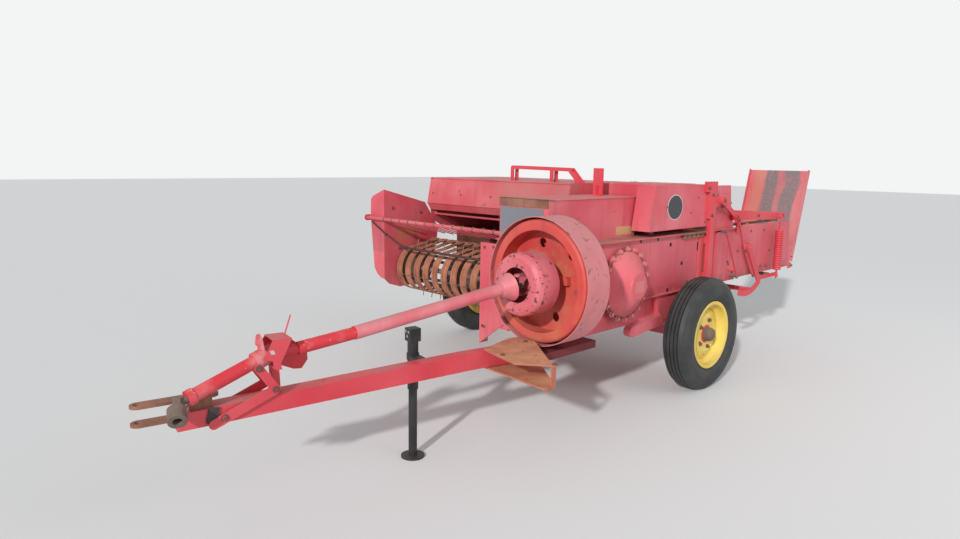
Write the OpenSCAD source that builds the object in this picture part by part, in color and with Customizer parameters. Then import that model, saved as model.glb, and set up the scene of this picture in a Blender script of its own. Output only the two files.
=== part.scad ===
// Small square baler, in millimetres.
// +X is the machine's left side, -Y is the hitch end and +Z is up.
// Inside the modules X is measured from the chamber's centreline, Y from the axle and Z from the ground.
// placed() then moves each piece so that the origin is under the middle of the whole machine.

/* [Bale chamber] */
// Inside width of the bale chamber
chamber_w = 457; // [440:1:480]
// Height of the chamber over its floor and top plates
chamber_h = 356; // [340:1:380]
// Height of the chamber's underside over the ground
chamber_z = 593; // [585:1:610]
// Front end of the chamber, ahead of the axle
chamber_front = 1165; // [1160:1:1180]
// Rear end of the chamber, behind the axle
chamber_rear = 1650; // [1560:1:1800]
// Thickness of the side, floor and top plates
wall_t = 5; // [4:0.5:6]
// Width of the angle irons along the chamber's corners
corner_w = 25; // [20:1:30]
// Where the closed front half of the chamber ends, behind the axle
closed_rear = 660; // [640:1:700]
// Width of the feed opening in the right side plate
feed_w = 500; // [420:5:520]
// Front edge of the feed opening, ahead of the axle
feed_front = 355; // [330:5:370]
// Width of the needle slots
slot_w = 30; // [24:1:40]

/* [Plunger] */
// Length of the plunger
plunger_len = 300; // [240:5:310]
// Plunger's face at rest, ahead of the axle
plunger_face = 100; // [80:5:120]
// Gap between the plunger and the chamber's side plates
plunger_gap = 14; // [8:1:20]

/* [Wheels] */
// Outside radius of the tyres, which is also the height of the axle
tyre_r = 346; // [335:1:358]
// Width of the tyres
tyre_w = 178; // [160:1:190]
// Radius of the rims' bead seats
rim_r = 190.5; // [180:0.5:200]
// Width of the rims over their flanges
rim_w = 139; // [130:1:150]
// Distance of the left tyre's middle from the chamber's centreline
left_track = 389; // [380:1:420]
// Distance of the right tyre's middle from the chamber's centreline
right_track = 1600; // [1590:1:1612]
// Radius of the wheel spindles
spindle_r = 20; // [16:1:24]
// Outside width of the square axle beam
axle_w = 90; // [70:1:100]

/* [Frame] */
// Distance of the frame beams' middles from the centreline
beam_x = 175; // [150:1:190]
// Width of a frame beam
beam_w = 60; // [50:1:80]
// Height of a frame beam
beam_h = 150; // [120:1:160]
// Rear end of the frame beams, behind the axle
beam_rear = 250; // [200:5:280]
// Thickness of the front plate
front_t = 8; // [6:1:10]
// Left-over width of the front plate on the pickup's side
front_reach = 368; // [340:1:376]
// Top of the front plate
front_top = 918; // [900:1:930]

/* [Flywheel] */
// Distance of the flywheel's axis from the chamber's centreline
fly_x = 200; // [190:1:204]
// Height of the flywheel's axis
fly_z = 787; // [775:1:795]
// Outside radius of the guard band round the flywheel
hoop_r = 322; // [300:1:325]
// Depth of the guard band along the shaft
hoop_depth = 169; // [160:0.5:172]
// Radius of the opening in the flywheel's front
fly_open_r = 255; // [240:1:262]
// Outside radius of the flywheel
fly_r = 307; // [290:1:309]
// Outside radius of the drum round the drive joint
drum_r = 155; // [140:1:158]
// Radius of the drum's flat front
drum_front_r = 130; // [110:1:140]
// Length of the drum
drum_len = 140; // [130:1:142]
// Radius of the hole in the drum's front
drum_hole_r = 86; // [84:1:90]
// Radius of the flywheel's shaft
fly_shaft_r = 18; // [14:1:20]

/* [Gear cover] */
// Radius of the gear housing's flange
gear_r = 208; // [200:0.5:215]
// Gear housing's centre, ahead of the axle
gear_y = 640; // [620:1:660]
// Height of the gear housing's centre
gear_z = 702; // [690:1:712]
// Radius of the cone where it leaves the flange
dome_r = 190; // [170:1:196]
// How far the cone stands out from the flange
dome_depth = 96; // [80:1:104]
// Radius of the flat disc on the cone's end
dome_flat_r = 73; // [60:1:90]

/* [Covers] */
// Top of the drive box
drive_box_top = 1177; // [1150:1:1190]
// Left edge of the drive box from the centreline
drive_box_left = 125; // [110:1:150]
// Right edge of the drive box from the centreline
drive_box_right = 220; // [210:1:222]
// Rear end of the drive box, ahead of the axle
drive_box_rear = 393; // [393:1:420]
// Outer face of the twine box from the centreline
twine_left = 258; // [250:1:270]
// Length of the twine box
twine_len = 522; // [500:5:540]
// Front of the twine box beside the drive box, ahead of the axle
twine_front = 300; // [290:1:304]
// How much further the twine box's outer part reaches ahead, at its underside
twine_ahead = 137; // [100:1:150]
// Underside of the twine box
twine_z = 983; // [975:1:1000]
// Height of the twine box
twine_h = 260; // [220:1:270]
// Thickness of sheet metal
sheet_t = 3; // [2:0.5:4]

/* [Feeder] */
// Top of the feeder hood
hood_top = 1245; // [1230:1:1260]
// Front of the feeder hood, ahead of the axle
hood_front = 550; // [530:5:570]
// Rear wall of the feeder, behind the axle
hood_rear = 200; // [180:5:230]
// Outer end of the feeder hood from the centreline
hood_reach = 1550; // [1530:5:1570]
// Outer end of the feed deck from the centreline
deck_reach = 1420; // [1400:5:1440]
// Front edge of the feed deck, ahead of the axle
deck_front = 400; // [380:5:402]

/* [Pickup] */
// Reel shaft's distance ahead of the axle
reel_y = 640; // [635:1:660]
// Height of the reel shaft with the pickup raised
reel_z = 575; // [560:1:590]
// Outside radius of the stripper bands
band_r = 163; // [155:1:166]
// Radius that the tines' tips reach
tine_r = 215; // [205:1:216]
// Radius of the tine bars' circle
tine_bar_r = 120; // [110:1:130]
// Number of stripper bands
band_n = 13; // [12:1:13]
// Distance from one stripper band to the next
band_pitch = 98.5; // [92:0.5:99]
// Width of a stripper band
band_w = 62; // [56:1:66]
// Number of tine bars
tine_bars = 4; // [4:1:6]
// Distance of the outer end sheet from the centreline
pickup_reach = 1660; // [1658:1:1680]
// Distance of the inner end plate from the centreline
pickup_inner = 385; // [380:1:388]
// Width of the outer end sheet's flange
flare_w = 168; // [120:5:180]
// Pickup pivot's distance ahead of the axle
lift_y = 180; // [170:1:190]
// Height of the pickup pivot
lift_z = 520; // [510:1:530]
// Height of the windguard bar
guard_z = 945; // [930:1:960]
// Radius of the windguard bar
guard_r = 12; // [8:1:14]
// Number of windguard rods
guard_rods = 14; // [10:1:18]
// Length of the windguard rods
guard_len = 345; // [280:5:350]

/* [Tongue] */
// Distance of the tongue's pivot ahead of the axle
swing_y = 1475; // [1470:1:1480]
// Angle of the tongue towards the pickup's side as parked
swing_angle = 9.6; // [0:0.1:12]
// Length of the tongue from its pivot to its nose
tongue_len = 1500; // [1460:5:1540]
// Height of the tongue's underside over the ground at its rear
tongue_z = 416; // [410:1:422]
// Height of the tongue's section at its rear
tongue_rear_h = 80; // [70:1:90]
// Height of the tongue's section at its nose
tongue_nose_h = 65; // [60:1:75]
// How much lower the tongue's underside is at its nose
tongue_drop = 20; // [10:1:26]
// Width of the tongue at its rear
tongue_rear_w = 56; // [54:1:70]
// Width of the tongue at its nose
tongue_nose_w = 90; // [80:1:100]
// Radius of the tongue's pivot pin
swing_pin_r = 14; // [12:1:18]
// Radius of the hole for the hitch pin
hitch_pin_r = 14; // [12:0.5:16]
// Gap between the two hitch straps
hitch_gap = 56; // [50:1:62]
// Length of the hitch straps ahead of the tongue's nose
strap_reach = 192; // [180:1:240]
// Width of a hitch strap
strap_w = 56; // [50:1:64]
// Reach of the pivot plates past the chamber's centreline
quadrant_reach = 592; // [540:1:620]
// Radius of the rear shaft guard
guard_rear_r = 29; // [26:1:34]
// Radius of the front shaft guard
guard_front_r = 26; // [24:1:30]

/* [Jack] */
// Distance of the jack from the tongue's pivot
jack_along = 507; // [480:1:560]
// Radius of the jack's leg
jack_r = 20; // [16:1:24]
// Radius of the jack's foot
jack_foot_r = 55; // [50:1:70]
// Top of the jack's leg over the ground, inside the sleeve
jack_top = 385; // [370:5:390]

/* [Needles] */
// Needle yoke pivot's distance behind the axle
yoke_y = 830; // [820:1:840]
// Height of the needle yoke's pivot
yoke_z = 800; // [795:1:805]
// Radius of the needles' arc
needle_r = 466; // [455:1:470]
// Depth of a needle across its arc
needle_d = 30; // [24:1:32]
// Thickness of a needle
needle_t = 12; // [8:1:14]
// Distance of a needle from the centreline
needle_x = 115; // [105:1:125]
// Height of the knotter shaft
knotter_z = 1105; // [1100:1:1120]
// Radius of the knotter discs
knotter_r = 92; // [80:1:95]

/* [Chute] */
// Length of the bale chute
chute_len = 770; // [700:1:850]
// Width of the bale chute
chute_w = 480; // [474:1:530]
// Angle of the folded chute over the horizontal
chute_fold = 74; // [60:0.1:80]
// Depth of the chute's side flanges
chute_side = 40; // [30:1:50]

/* [Bale tension] */
// Distance of the tension springs behind the axle
spring_y = 1290; // [1250:5:1330]
// Radius of the tension springs
spring_r = 32; // [24:1:34]
// Radius of the measuring wheel
star_r = 108; // [100:1:114]
// Number of teeth on the measuring wheel
star_teeth = 10; // [8:1:14]

/* [Hidden] */
$fn = 64;
fit = 0.05;
seat = 0.3;
half_w = chamber_w / 2 + wall_t;
chamber_top = chamber_z + chamber_h;
front_y = -chamber_front;
plate_y = front_y - front_t;
axle_z = tyre_r;
hoop_y = plate_y - hoop_depth;
swing_x = fly_x;
reel_pos = [-reel_y, reel_z];
lift_pos = [-lift_y, lift_z];
chute_y = chamber_rear + 15;
chute_z = chamber_z;
chute_pin_r = 9;
strap_t = 11;
hitch_z = tongue_z + 26 + hitch_gap / 2;
hitch_along = tongue_len + strap_reach - 26;
band_right = -pickup_inner - 6;
band_left = band_right - (band_n - 1) * band_pitch - band_w;
guard_y = reel_y + 285;
crop_low = [-guard_y + 90, guard_z - 200];
bar_out = pickup_reach + flare_w + 10;
knotter_y = 470;
tip_angle = asin((yoke_z - chamber_z + 8) / needle_r);
hood_right = half_w + 2;
hinge_x = drive_box_right - 16;
drum_edge = 10;
lift_pin_r = 12;
lift_arm_x = [band_left + 2 * band_pitch + band_w + 2, band_left + 11 * band_pitch + band_w + 2];
lift_arm_t = 8;
reel_shaft_r = 18;
top_rail = [-reel_y + 200, reel_z + 190];
low_rail = [-reel_y + 170, reel_z - 161];
rail_r = 15;
tube_y = spring_y - 40;
tube_top = chamber_top + 52;
tube_low = chamber_z - 29;
jack_x = -tongue_rear_w / 2 - 82;
yoke_bore_r = 17.5;
hub_r = 52;
hub_front = 100;
web_depth = 57;
web_t = 10;
drum_front = swing_y + drum_edge + plate_y;
drum_back = drum_front - drum_len;
nose_tip = 47;

// Places along the drive line: distance from the tongue's pivot and height
line_cone = [42, fly_z - 5];
line_neck = [95, fly_z - 13];
line_step = [845, 660];
line_stand = [1084, 630];
line_cap = [1182, 630];
// Front end of the front guard and the joint's middle, in the tongue's frame
line_end = [62, -1513, 519];
joint_mid = [69, -1550.3, 506.5];
yoke_turn = [0, 119, -9];
neck_dir = (line_step - line_neck) / norm(line_step - line_neck);

// Middle of the whole machine, from its outermost pieces
shelf_z = chamber_top - 90;
x_max = max(left_track + tyre_w / 2, quadrant_reach);
x_min = -bar_out;
y_min = -swing_y - (tongue_len + strap_reach - strap_w / 2) * cos(swing_angle) - strap_w / 2;
y_max = chute_y + chute_len * cos(chute_fold) + chute_pin_r * sin(chute_fold);
origin = [(x_min + x_max) / 2, (y_min + y_max) / 2, 0];

paint = "#c9505a";
bright_paint = "#c8303a";
rust = "#a0603c";
dark = "#2c2a2a";
steel = "#8d8a86";
yellow = "#d8b23c";
black = "#1c1c1c";

// Helpers

module placed() {
    translate(-origin) children();
}

module box(x0, x1, y0, y1, z0, z1) {
    translate([x0, y0, z0]) cube([x1 - x0, y1 - y0, z1 - z0]);
}

// Cylinders along the three axes
module rod_x(r, x0, x1, y, z) {
    translate([x0, y, z]) rotate([0, 90, 0]) cylinder(r = r, h = x1 - x0);
}
module rod_y(r, y0, y1, x, z) {
    translate([x, y0, z]) rotate([-90, 0, 0]) cylinder(r = r, h = y1 - y0);
}
module rod_z(r, z0, z1, x, y) {
    translate([x, y, z0]) cylinder(r = r, h = z1 - z0);
}

// A round bar from one point to another
module bar(a, b, r) {
    d = b - a;
    len = norm(d);
    translate(a) rotate([0, acos(d[2] / len), atan2(d[1], d[0])]) cylinder(r = r, h = len);
}

// A flat outline in Y and Z, given thickness along X
module slab_x(x0, x1) {
    translate([x0, 0, 0]) rotate([90, 0, 90]) linear_extrude(x1 - x0) children();
}
// A flat outline in X and Z, given thickness along Y
module slab_y(y0, y1) {
    translate([0, y1, 0]) rotate([90, 0, 0]) linear_extrude(y1 - y0) children();
}
// A flat outline in X and Y, given thickness along Z
module slab_z(z0, z1) {
    translate([0, 0, z0]) linear_extrude(z1 - z0) children();
}

// An outline of a strap of width w with round ends, from a to b
module link(a, b, w) {
    d = b - a;
    translate(a) rotate(atan2(d[1], d[0])) {
        translate([0, -w / 2]) square([norm(d), w]);
        circle(w / 2);
        translate([norm(d), 0]) circle(w / 2);
    }
}

// A profile of radius and depth, turned round the flywheel's axis, depth towards the hitch
module turned_y(x, y, z) {
    translate([x, y, z]) rotate([90, 0, 0]) rotate_extrude($fn = 96) children();
}
// A profile of radius and width, turned round an axis along X, width towards +X
module turned_x(x, y, z) {
    translate([x, y, z]) rotate([0, 90, 0]) rotate_extrude($fn = 96) children();
}

// Bale chamber

// Outline of a side plate, with its hinge ear at the rear
module side_outline() {
    polygon([
        [front_y, chamber_z], [chamber_rear, chamber_z], [chamber_rear - 78, chamber_top], [front_y, chamber_top]
    ]);
    translate([chute_y, chute_z]) circle(22);
    translate([chamber_rear - 30, chamber_z - 22]) square([30 + chute_y - chamber_rear, 44]);
}

// Angle iron lips along the top and bottom edges of a side plate, on its outer side
module corner_lips(side) {
    for (z = [chamber_z, chamber_top - wall_t]) {
        x0 = side > 0 ? half_w : -half_w - corner_w;
        box(x0, x0 + corner_w, front_y, closed_rear, z, z + wall_t);
    }
}

// Pivot boss for the needle yoke on the outer side of a side plate
module yoke_boss(side) {
    x0 = side > 0 ? half_w : -half_w - 26;
    rod_x(22, x0, x0 + 26, yoke_y, yoke_z);
}

module left_side_plate() {
    color(paint) {
        difference() {
            union() {
                slab_x(half_w - wall_t, half_w) side_outline();
                corner_lips(1);
                for (rib_y = [183, 312]) {
                    box(half_w, half_w + 9, rib_y, rib_y + 52, chamber_z + 8, chamber_top - 8);
                }
                box(half_w, half_w + 18, 400, 548, chamber_z + 8, chamber_top - 26);
                rod_y(9, 400, 548, half_w + 9, chamber_top - 26);
                yoke_boss(1);
            }
            rod_x(gear_r + seat, half_w, half_w + 40, -gear_y, gear_z);
            rod_x(chute_pin_r + fit, half_w - 10, half_w + 10, chute_y, chute_z);
        }
        rod_x(14, half_w + 26, half_w + 48, yoke_y, yoke_z);
    }
}

module right_side_plate() {
    color(paint) {
        difference() {
            union() {
                slab_x(-half_w, -half_w + wall_t) side_outline();
                corner_lips(-1);
                yoke_boss(-1);
            }
            box(-half_w - 50, -half_w + 10, -feed_front, -feed_front + feed_w, chamber_z + 14, chamber_top - 14);
            rod_x(chute_pin_r + fit, -half_w - 10, -half_w + 10, chute_y, chute_z);
        }
        rod_x(14, -half_w - 48, -half_w - 26, yoke_y, yoke_z);
    }
}

// The two needle slots through a floor or top plate
module needle_slots(z) {
    for (x = [-needle_x, needle_x]) {
        box(x - slot_w / 2, x + slot_w / 2, yoke_y - needle_r - 30, yoke_y - needle_r + 160, z - 20, z + 20);
    }
}

module chamber_floor() {
    inner = half_w - wall_t;
    color(paint) difference() {
        box(-inner, inner, front_y, closed_rear, chamber_z, chamber_z + wall_t);
        needle_slots(chamber_z);
    }
}

module chamber_top() {
    inner = half_w - wall_t;
    color(paint) difference() {
        box(-inner, inner, front_y, closed_rear, chamber_top - wall_t, chamber_top);
        needle_slots(chamber_top);
    }
}

// Two angle rails above and two below the open rear half, which squeeze the bale
module bale_rails() {
    rail_x = 150;
    color(rust) {
        for (side = [-1, 1]) {
            x0 = side > 0 ? rail_x - 60 : -rail_x;
            edge = side > 0 ? rail_x - 6 : -rail_x;
            box(x0, x0 + 60, closed_rear, chamber_rear - 90, chamber_top - wall_t, chamber_top);
            box(edge, edge + 6, closed_rear, chamber_rear - 90, chamber_top - wall_t, chamber_top + 14);
            box(edge, edge + 6, tube_y - 24, tube_y + 24, chamber_top - wall_t, tube_top);
            box(x0, x0 + 60, closed_rear, chamber_rear - 20, chamber_z, chamber_z + wall_t);
            box(edge, edge + 6, closed_rear, chamber_rear - 20, chamber_z - 14, chamber_z + wall_t);
            box(edge, edge + 6, tube_y - 24, tube_y + 24, tube_low, chamber_z + wall_t);
        }
        rod_x(14, -half_w - 10, half_w + 10, tube_y, tube_top);
        rod_x(14, -half_w - 10, half_w + 10, tube_y, tube_low);
        rod_x(chute_pin_r, -half_w - 14, half_w + 14, chute_y, chute_z);
    }
}

// Plunger, on four shoes that run on the floor, with two slots in its face for the needles
module plunger() {
    x1 = half_w - wall_t - plunger_gap;
    y1 = -plunger_face;
    color(dark) difference() {
        union() {
            box(-x1, x1, y1 - plunger_len, y1, chamber_z + wall_t + 8, chamber_top - wall_t - 8);
            for (x = [-x1 + 10, x1 - 50], y = [y1 - plunger_len + 10, y1 - 70]) {
                box(x, x + 40, y, y + 60, chamber_z + wall_t + seat, chamber_z + wall_t + 8);
            }
        }
        box(-x1 + 12, x1 - 12, y1 - plunger_len - 1, y1 - 16, chamber_z + wall_t + 20, chamber_top - wall_t - 20);
        for (x = [-needle_x, needle_x]) {
            box(x - slot_w / 2, x + slot_w / 2, y1 - 36, y1 + 1, chamber_z, chamber_top);
        }
    }
}

// Bale tension

// Straps along the sides over and under the rear half, tapered towards the springs
module tension_arms() {
    end_y = spring_y + 150;
    color(bright_paint) for (side = [-1, 1]) {
        x0 = side > 0 ? half_w + 10 : -half_w - 20;
        slab_x(x0, x0 + 10) difference() {
            polygon([
                [knotter_y + 127, chamber_top + 50], [end_y, chamber_top + 26], [end_y, chamber_top + 74],
                [knotter_y + 104, chamber_top + 122]
            ]);
            translate([spring_y, tube_top]) circle(7);
        }
        slab_x(x0, x0 + 10) translate([spring_y - 240, chamber_z - 50]) square([340, 27]);
        x1 = side > 0 ? half_w : -half_w - 10;
        box(x1, x1 + 10, closed_rear + 20, closed_rear + 60, chamber_top - 40, chamber_top + 90);
    }
}

// Outline of a coil spring in radius and height: n round turns, a little apart, on a core
module spring_outline(n, len) {
    half_pitch = len / n / 2;
    square([spring_r - half_pitch, len]);
    for (k = [0:n - 1]) {
        translate([spring_r - half_pitch, half_pitch * (2 * k + 1)]) circle(half_pitch * 0.9);
    }
}

module tension_springs() {
    z0 = chamber_z + 7;
    len = 300;
    color(bright_paint) for (side = [-1, 1]) {
        x = side * (half_w + 50);
        translate([x, spring_y, z0]) rotate_extrude() spring_outline(18, len);
        rod_z(6, chamber_z - 58, tube_top + 18, x, spring_y);
        x0 = side > 0 ? half_w + 20 : -half_w - 62;
        box(x0, x0 + 42, spring_y - 12, spring_y + 12, tube_top - 6, tube_top + 6);
        box(x0, x0 + 42, spring_y - 12, spring_y + 12, chamber_z - 44, chamber_z - 32);
    }
}

module measuring_bracket() {
    y = 860;
    z = chamber_top;
    color(paint) {
        box(-half_w, half_w, y - 20, y + 20, z + 14, z + 20);
        for (x = [-26, 20]) {
            slab_x(x, x + 6) difference() {
                union() {
                    link([y, z + 20], [y + 125, z + 82], 34);
                    translate([y - 20, z]) square([40, 24]);
                }
                translate([y + 125, z + 82]) circle(8 + fit);
            }
        }
    }
}

module measuring_wheel() {
    y = 985;
    z = chamber_top + 82;
    color(steel) {
        slab_x(-4, 4) translate([y, z]) {
            circle(star_r - 30);
            for (k = [0:star_teeth - 1]) {
                rotate(k * 360 / star_teeth) polygon([[0, -20], [star_r, -3], [star_r, 3], [0, 20]]);
            }
        }
        rod_x(8, -32, 32, y, z);
        rod_x(14, -14, 14, y, z);
    }
}

// Frame and axle

module front_plate() {
    right = half_w + 56;
    low = chamber_z - 119;
    color(paint) difference() {
        union() {
            slab_y(plate_y, front_y) polygon([
                [-front_reach, low - 141], [-179, low], [right, low], [right, front_top], [-front_reach, front_top]
            ]);
            box(-front_reach, -front_reach + sheet_t, front_y, front_y + 60, low - 141, front_top);
            rod_y(46, plate_y - 30, plate_y, fly_x, fly_z);
        }
        rod_y(fly_shaft_r + fit, plate_y - 40, front_y + 10, fly_x, fly_z);
    }
}

module frame_beams() {
    z0 = chamber_z - beam_h;
    color(paint) {
        for (side = [-1, 1]) {
            x0 = side * beam_x - beam_w / 2;
            inner = side > 0 ? x0 : x0 + 6;
            difference() {
                box(x0, x0 + beam_w, front_y, beam_rear, z0, chamber_z);
                box(inner - (side > 0 ? 1 : 0), inner + beam_w - 6, front_y + 8, beam_rear - 8, z0 + 6, chamber_z - 6);
            }
        }
        for (y = [-900, -300]) {
            box(6 - beam_x - beam_w / 2, beam_x + beam_w / 2 - 6, y, y + 60, z0 + 10, z0 + 70);
        }
    }
}

// Square beam across the machine with a spindle at each end, and the plates that hang it from the frame
module axle_beam() {
    left_end = left_track - tyre_w / 2 - 15;
    right_end = -right_track + tyre_w / 2 + 15;
    z0 = axle_z - axle_w / 2;
    beam_z = chamber_z - beam_h;
    color(paint) {
        box(right_end, left_end, -axle_w / 2, axle_w / 2, z0, z0 + axle_w);
        for (x = [-beam_x - beam_w / 2, beam_x - beam_w / 2]) {
            box(x, x + beam_w, -axle_w / 2 - 20, axle_w / 2 + 20, z0 + axle_w, beam_z);
        }
        rod_x(spindle_r, left_end, left_track + 38, 0, axle_z);
        rod_x(spindle_r, -right_track - 38, right_end, 0, axle_z);
        slab_x(beam_x + beam_w / 2, half_w + 6) polygon([
            [-300, chamber_z], [-250, 470], [-70, z0 + 20], [70, z0 + 20], [120, chamber_z]
        ]);
        slab_x(beam_x + beam_w / 2, half_w + 20) link([-250, 440], [-540, 412], 62);
        box(-1400, -1340, axle_w / 2 - 60, axle_w / 2, z0 + axle_w, chamber_z - wall_t);
        box(-700, -640, axle_w / 2 - 60, axle_w / 2, z0 + axle_w, chamber_z - wall_t);
    }
}

// Wheels

// Section of a ribbed tyre: radius along x, width along y
module tyre_section() {
    h = tyre_w / 2;
    difference() {
        polygon([
            [rim_r + seat, -52], [rim_r + 20, -62], [rim_r + 50, -h + 5], [tyre_r - 78, -h],
            [tyre_r - 36, -h + 10], [tyre_r - 10, -h + 30], [tyre_r, -h + 52],
            [tyre_r, h - 52], [tyre_r - 10, h - 30], [tyre_r - 36, h - 10], [tyre_r - 78, h],
            [rim_r + 50, h - 5], [rim_r + 20, 62], [rim_r + seat, 52]
        ]);
        for (y = [-36, -12, 12, 36]) {
            translate([tyre_r - 9, y - 3]) square([12, 6]);
        }
    }
}

// Section of a drop-centre rim with its dish, outer side towards +y
module rim_section() {
    h = rim_w / 2;
    t = 4;
    polygon([
        [rim_r + 17, -h], [rim_r + 17, -h + t], [rim_r, -h + 7], [rim_r, -28], [rim_r - 24, -18],
        [rim_r - 24, 18], [rim_r, 28], [rim_r, h - 7], [rim_r + 17, h - t], [rim_r + 17, h],
        [rim_r - t, h - 3], [rim_r - t, 30], [rim_r - 28, 20], [rim_r - 28, 12], [110, 34], [84, 30],
        [56, 30], [56, 22], [88, 22], [110, 26], [rim_r - 28, 4], [rim_r - 28, -20],
        [rim_r - t, -30], [rim_r - t, -h + 3]
    ]);
}

// Section of a hub with its bore open towards the axle
module hub_section() {
    polygon([
        [spindle_r + fit, -46], [34, -46], [38, -40], [38, 10], [62, 14], [62, 22], [36, 22],
        [34, 72], [20, 78], [0, 78], [0, 44], [spindle_r + fit, 44]
    ]);
}

module rim(x, side) {
    color(yellow) translate([x, 0, axle_z]) rotate([0, side * 90, 0]) rotate_extrude($fn = 96) {
        rim_section();
        hub_section();
    }
}

module tyre(x) {
    color(black) turned_x(x, 0, axle_z) tyre_section();
}

module left_rim() {
    rim(left_track, 1);
}
module left_tyre() {
    tyre(left_track);
}
module right_rim() {
    rim(-right_track, -1);
}
module right_tyre() {
    tyre(-right_track);
}

// Gearbox and flywheel

// Main gearbox at its real place, ahead of the plunger and inside the left side plate
module gearbox() {
    x1 = half_w - wall_t;
    color(dark) difference() {
        box(x1 - 168, x1, front_y, -720, chamber_z + 25, chamber_top - 17);
        rod_y(fly_shaft_r + fit, front_y - 10, front_y + 60, fly_x, fly_z);
    }
}

module gear_cover() {
    ring = 6;
    flange = 8;
    face = ring + flange + dome_depth;
    color(paint) turned_x(half_w, -gear_y, gear_z) {
        square([gear_r - 6, ring]);
        translate([0, ring]) square([gear_r, flange]);
        polygon([
            [0, ring + flange], [dome_r, ring + flange], [dome_r - 8, ring + flange + 14], [dome_flat_r + 4, face - 6],
            [dome_flat_r, face], [0, face]
        ]);
        translate([gear_r - 12, ring + flange]) square([10, 4]);
    }
}

// Fixed band round the flywheel, with its edges turned in a little
module flywheel_hoop() {
    t = 4;
    color(paint) turned_y(fly_x, plate_y, fly_z) {
        translate([hoop_r - t, 0]) square([t, hoop_depth]);
        translate([hoop_r - t - 16, 0]) square([16, t]);
    }
}

// Wheel with a heavy rim, a web with round holes, a hub and three ribs, on its shaft
module flywheel() {
    rim_back = 42;
    rim_front = hoop_depth - 5.5;
    web_front = web_depth + web_t;
    web_y = plate_y - web_depth;
    color(bright_paint) {
        difference() {
            turned_y(fly_x, plate_y, fly_z) polygon([
                [0, 36], [hub_r, 36], [hub_r, web_depth], [fly_open_r, web_depth], [fly_open_r, rim_back],
                [fly_r, rim_back], [fly_r, rim_front - 16], [fly_r - 5, rim_front - 5], [fly_r - 16, rim_front],
                [fly_open_r, rim_front], [fly_open_r, web_front], [hub_r, web_front], [hub_r, hub_front],
                [0, hub_front]
            ]);
            for (a = [-15:60:285]) {
                translate([fly_x + 190 * cos(a), web_y, fly_z + 190 * sin(a)]) rotate([90, 0, 0]) {
                    cylinder(r = 24, h = 60, center = true);
                }
            }
        }
        for (a = [5:120:245]) {
            translate([fly_x, web_y, fly_z]) rotate([0, -a, 0]) translate([30, -web_t - 30, -20]) {
                cube([110, 32, 40]);
            }
        }
        rod_y(fly_shaft_r, web_y - 4, front_y + 45, fly_x, fly_z);
    }
}

// Drum in front of the flywheel, round the joint of the drive shaft, with the fixed half of that joint
module flywheel_drum() {
    t = 4;
    color(paint) {
        turned_y(fly_x, plate_y, fly_z) {
            translate([0, hub_front + seat]) square([hub_r - 12, drum_back - hub_front + 6]);
            translate([0, drum_back]) square([drum_r - t / 2, 6]);
            polygon([
                [drum_r - t, drum_back], [drum_r, drum_back], [drum_r, drum_front - 26], [drum_r - 7, drum_front - 10],
                [drum_front_r, drum_front], [drum_hole_r, drum_front], [drum_hole_r, drum_front - t],
                [drum_front_r - 2, drum_front - t], [drum_r - 10, drum_front - 13], [drum_r - t, drum_front - 27]
            ]);
        }
        for (s = [-1, 1]) {
            x0 = fly_x - 16;
            z0 = fly_z + (s > 0 ? 40 : -52);
            difference() {
                union() {
                    box(x0, x0 + 32, -swing_y, plate_y - drum_back, z0, z0 + 12);
                    rod_z(16, z0, z0 + 12, fly_x, -swing_y);
                }
                rod_z(8, z0 - 1, z0 + 13, fly_x, -swing_y);
            }
        }
    }
}

// Covers

module drive_box() {
    t = sheet_t;
    rake = 81;
    y0 = plate_y;
    y1 = -drive_box_rear;
    color(paint) difference() {
        slab_x(-drive_box_right, drive_box_left) polygon([
            [y0, chamber_top], [y1, chamber_top], [y1 + rake, drive_box_top], [y0, drive_box_top]
        ]);
        slab_x(-drive_box_right + t, drive_box_left - t) polygon([
            [y0 + t, chamber_top - 1], [y1 - t, chamber_top - 1], [y1 + rake - t, drive_box_top - t],
            [y0 + t, drive_box_top - t]
        ]);
    }
}

// Outline of the twine box's outer part in Y and Z: its front leans back towards the top
module twine_side(t) {
    y0 = -twine_front;
    lean = 44;
    top = twine_z + twine_h;
    polygon([
        [y0 - twine_ahead + t, twine_z + t], [y0 + twine_len - t, twine_z + t], [y0 + twine_len - t, top + (t > 0 ? 1 : 0)],
        [y0 - twine_ahead + lean + t, top + (t > 0 ? 1 : 0)]
    ]);
}

module twine_box() {
    t = sheet_t;
    x0 = -hinge_x;
    x1 = twine_left;
    y0 = -twine_front;
    y1 = y0 + twine_len;
    z1 = twine_z + twine_h;
    split_x = drive_box_left + 11;
    color(paint) {
        difference() {
            union() {
                box(x0, x1 - 10, y0, y1, twine_z, z1);
                slab_x(split_x, x1) twine_side(0);
            }
            box(x0 + t, x1 - 10, y0 + t, y1 - t, twine_z + t, z1 + 1);
            slab_x(split_x + t, x1 - t) twine_side(t);
        }
        for (y = [y0 + 40, y1 - 100]) {
            box(-150, 150, y, y + 40, chamber_top, twine_z);
        }
        for (y = [y0 + 60, y1 - 120]) {
            box(x0 - 14, x0, y, y + 20, z1 - 24, z1 - 4);
            rod_y(7, y, y + 20, x0 - 10, z1 + 2);
        }
        rod_y(3, y0 + 60, y1 - 60, x0 - 10, z1 + 2);
    }
}

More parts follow.
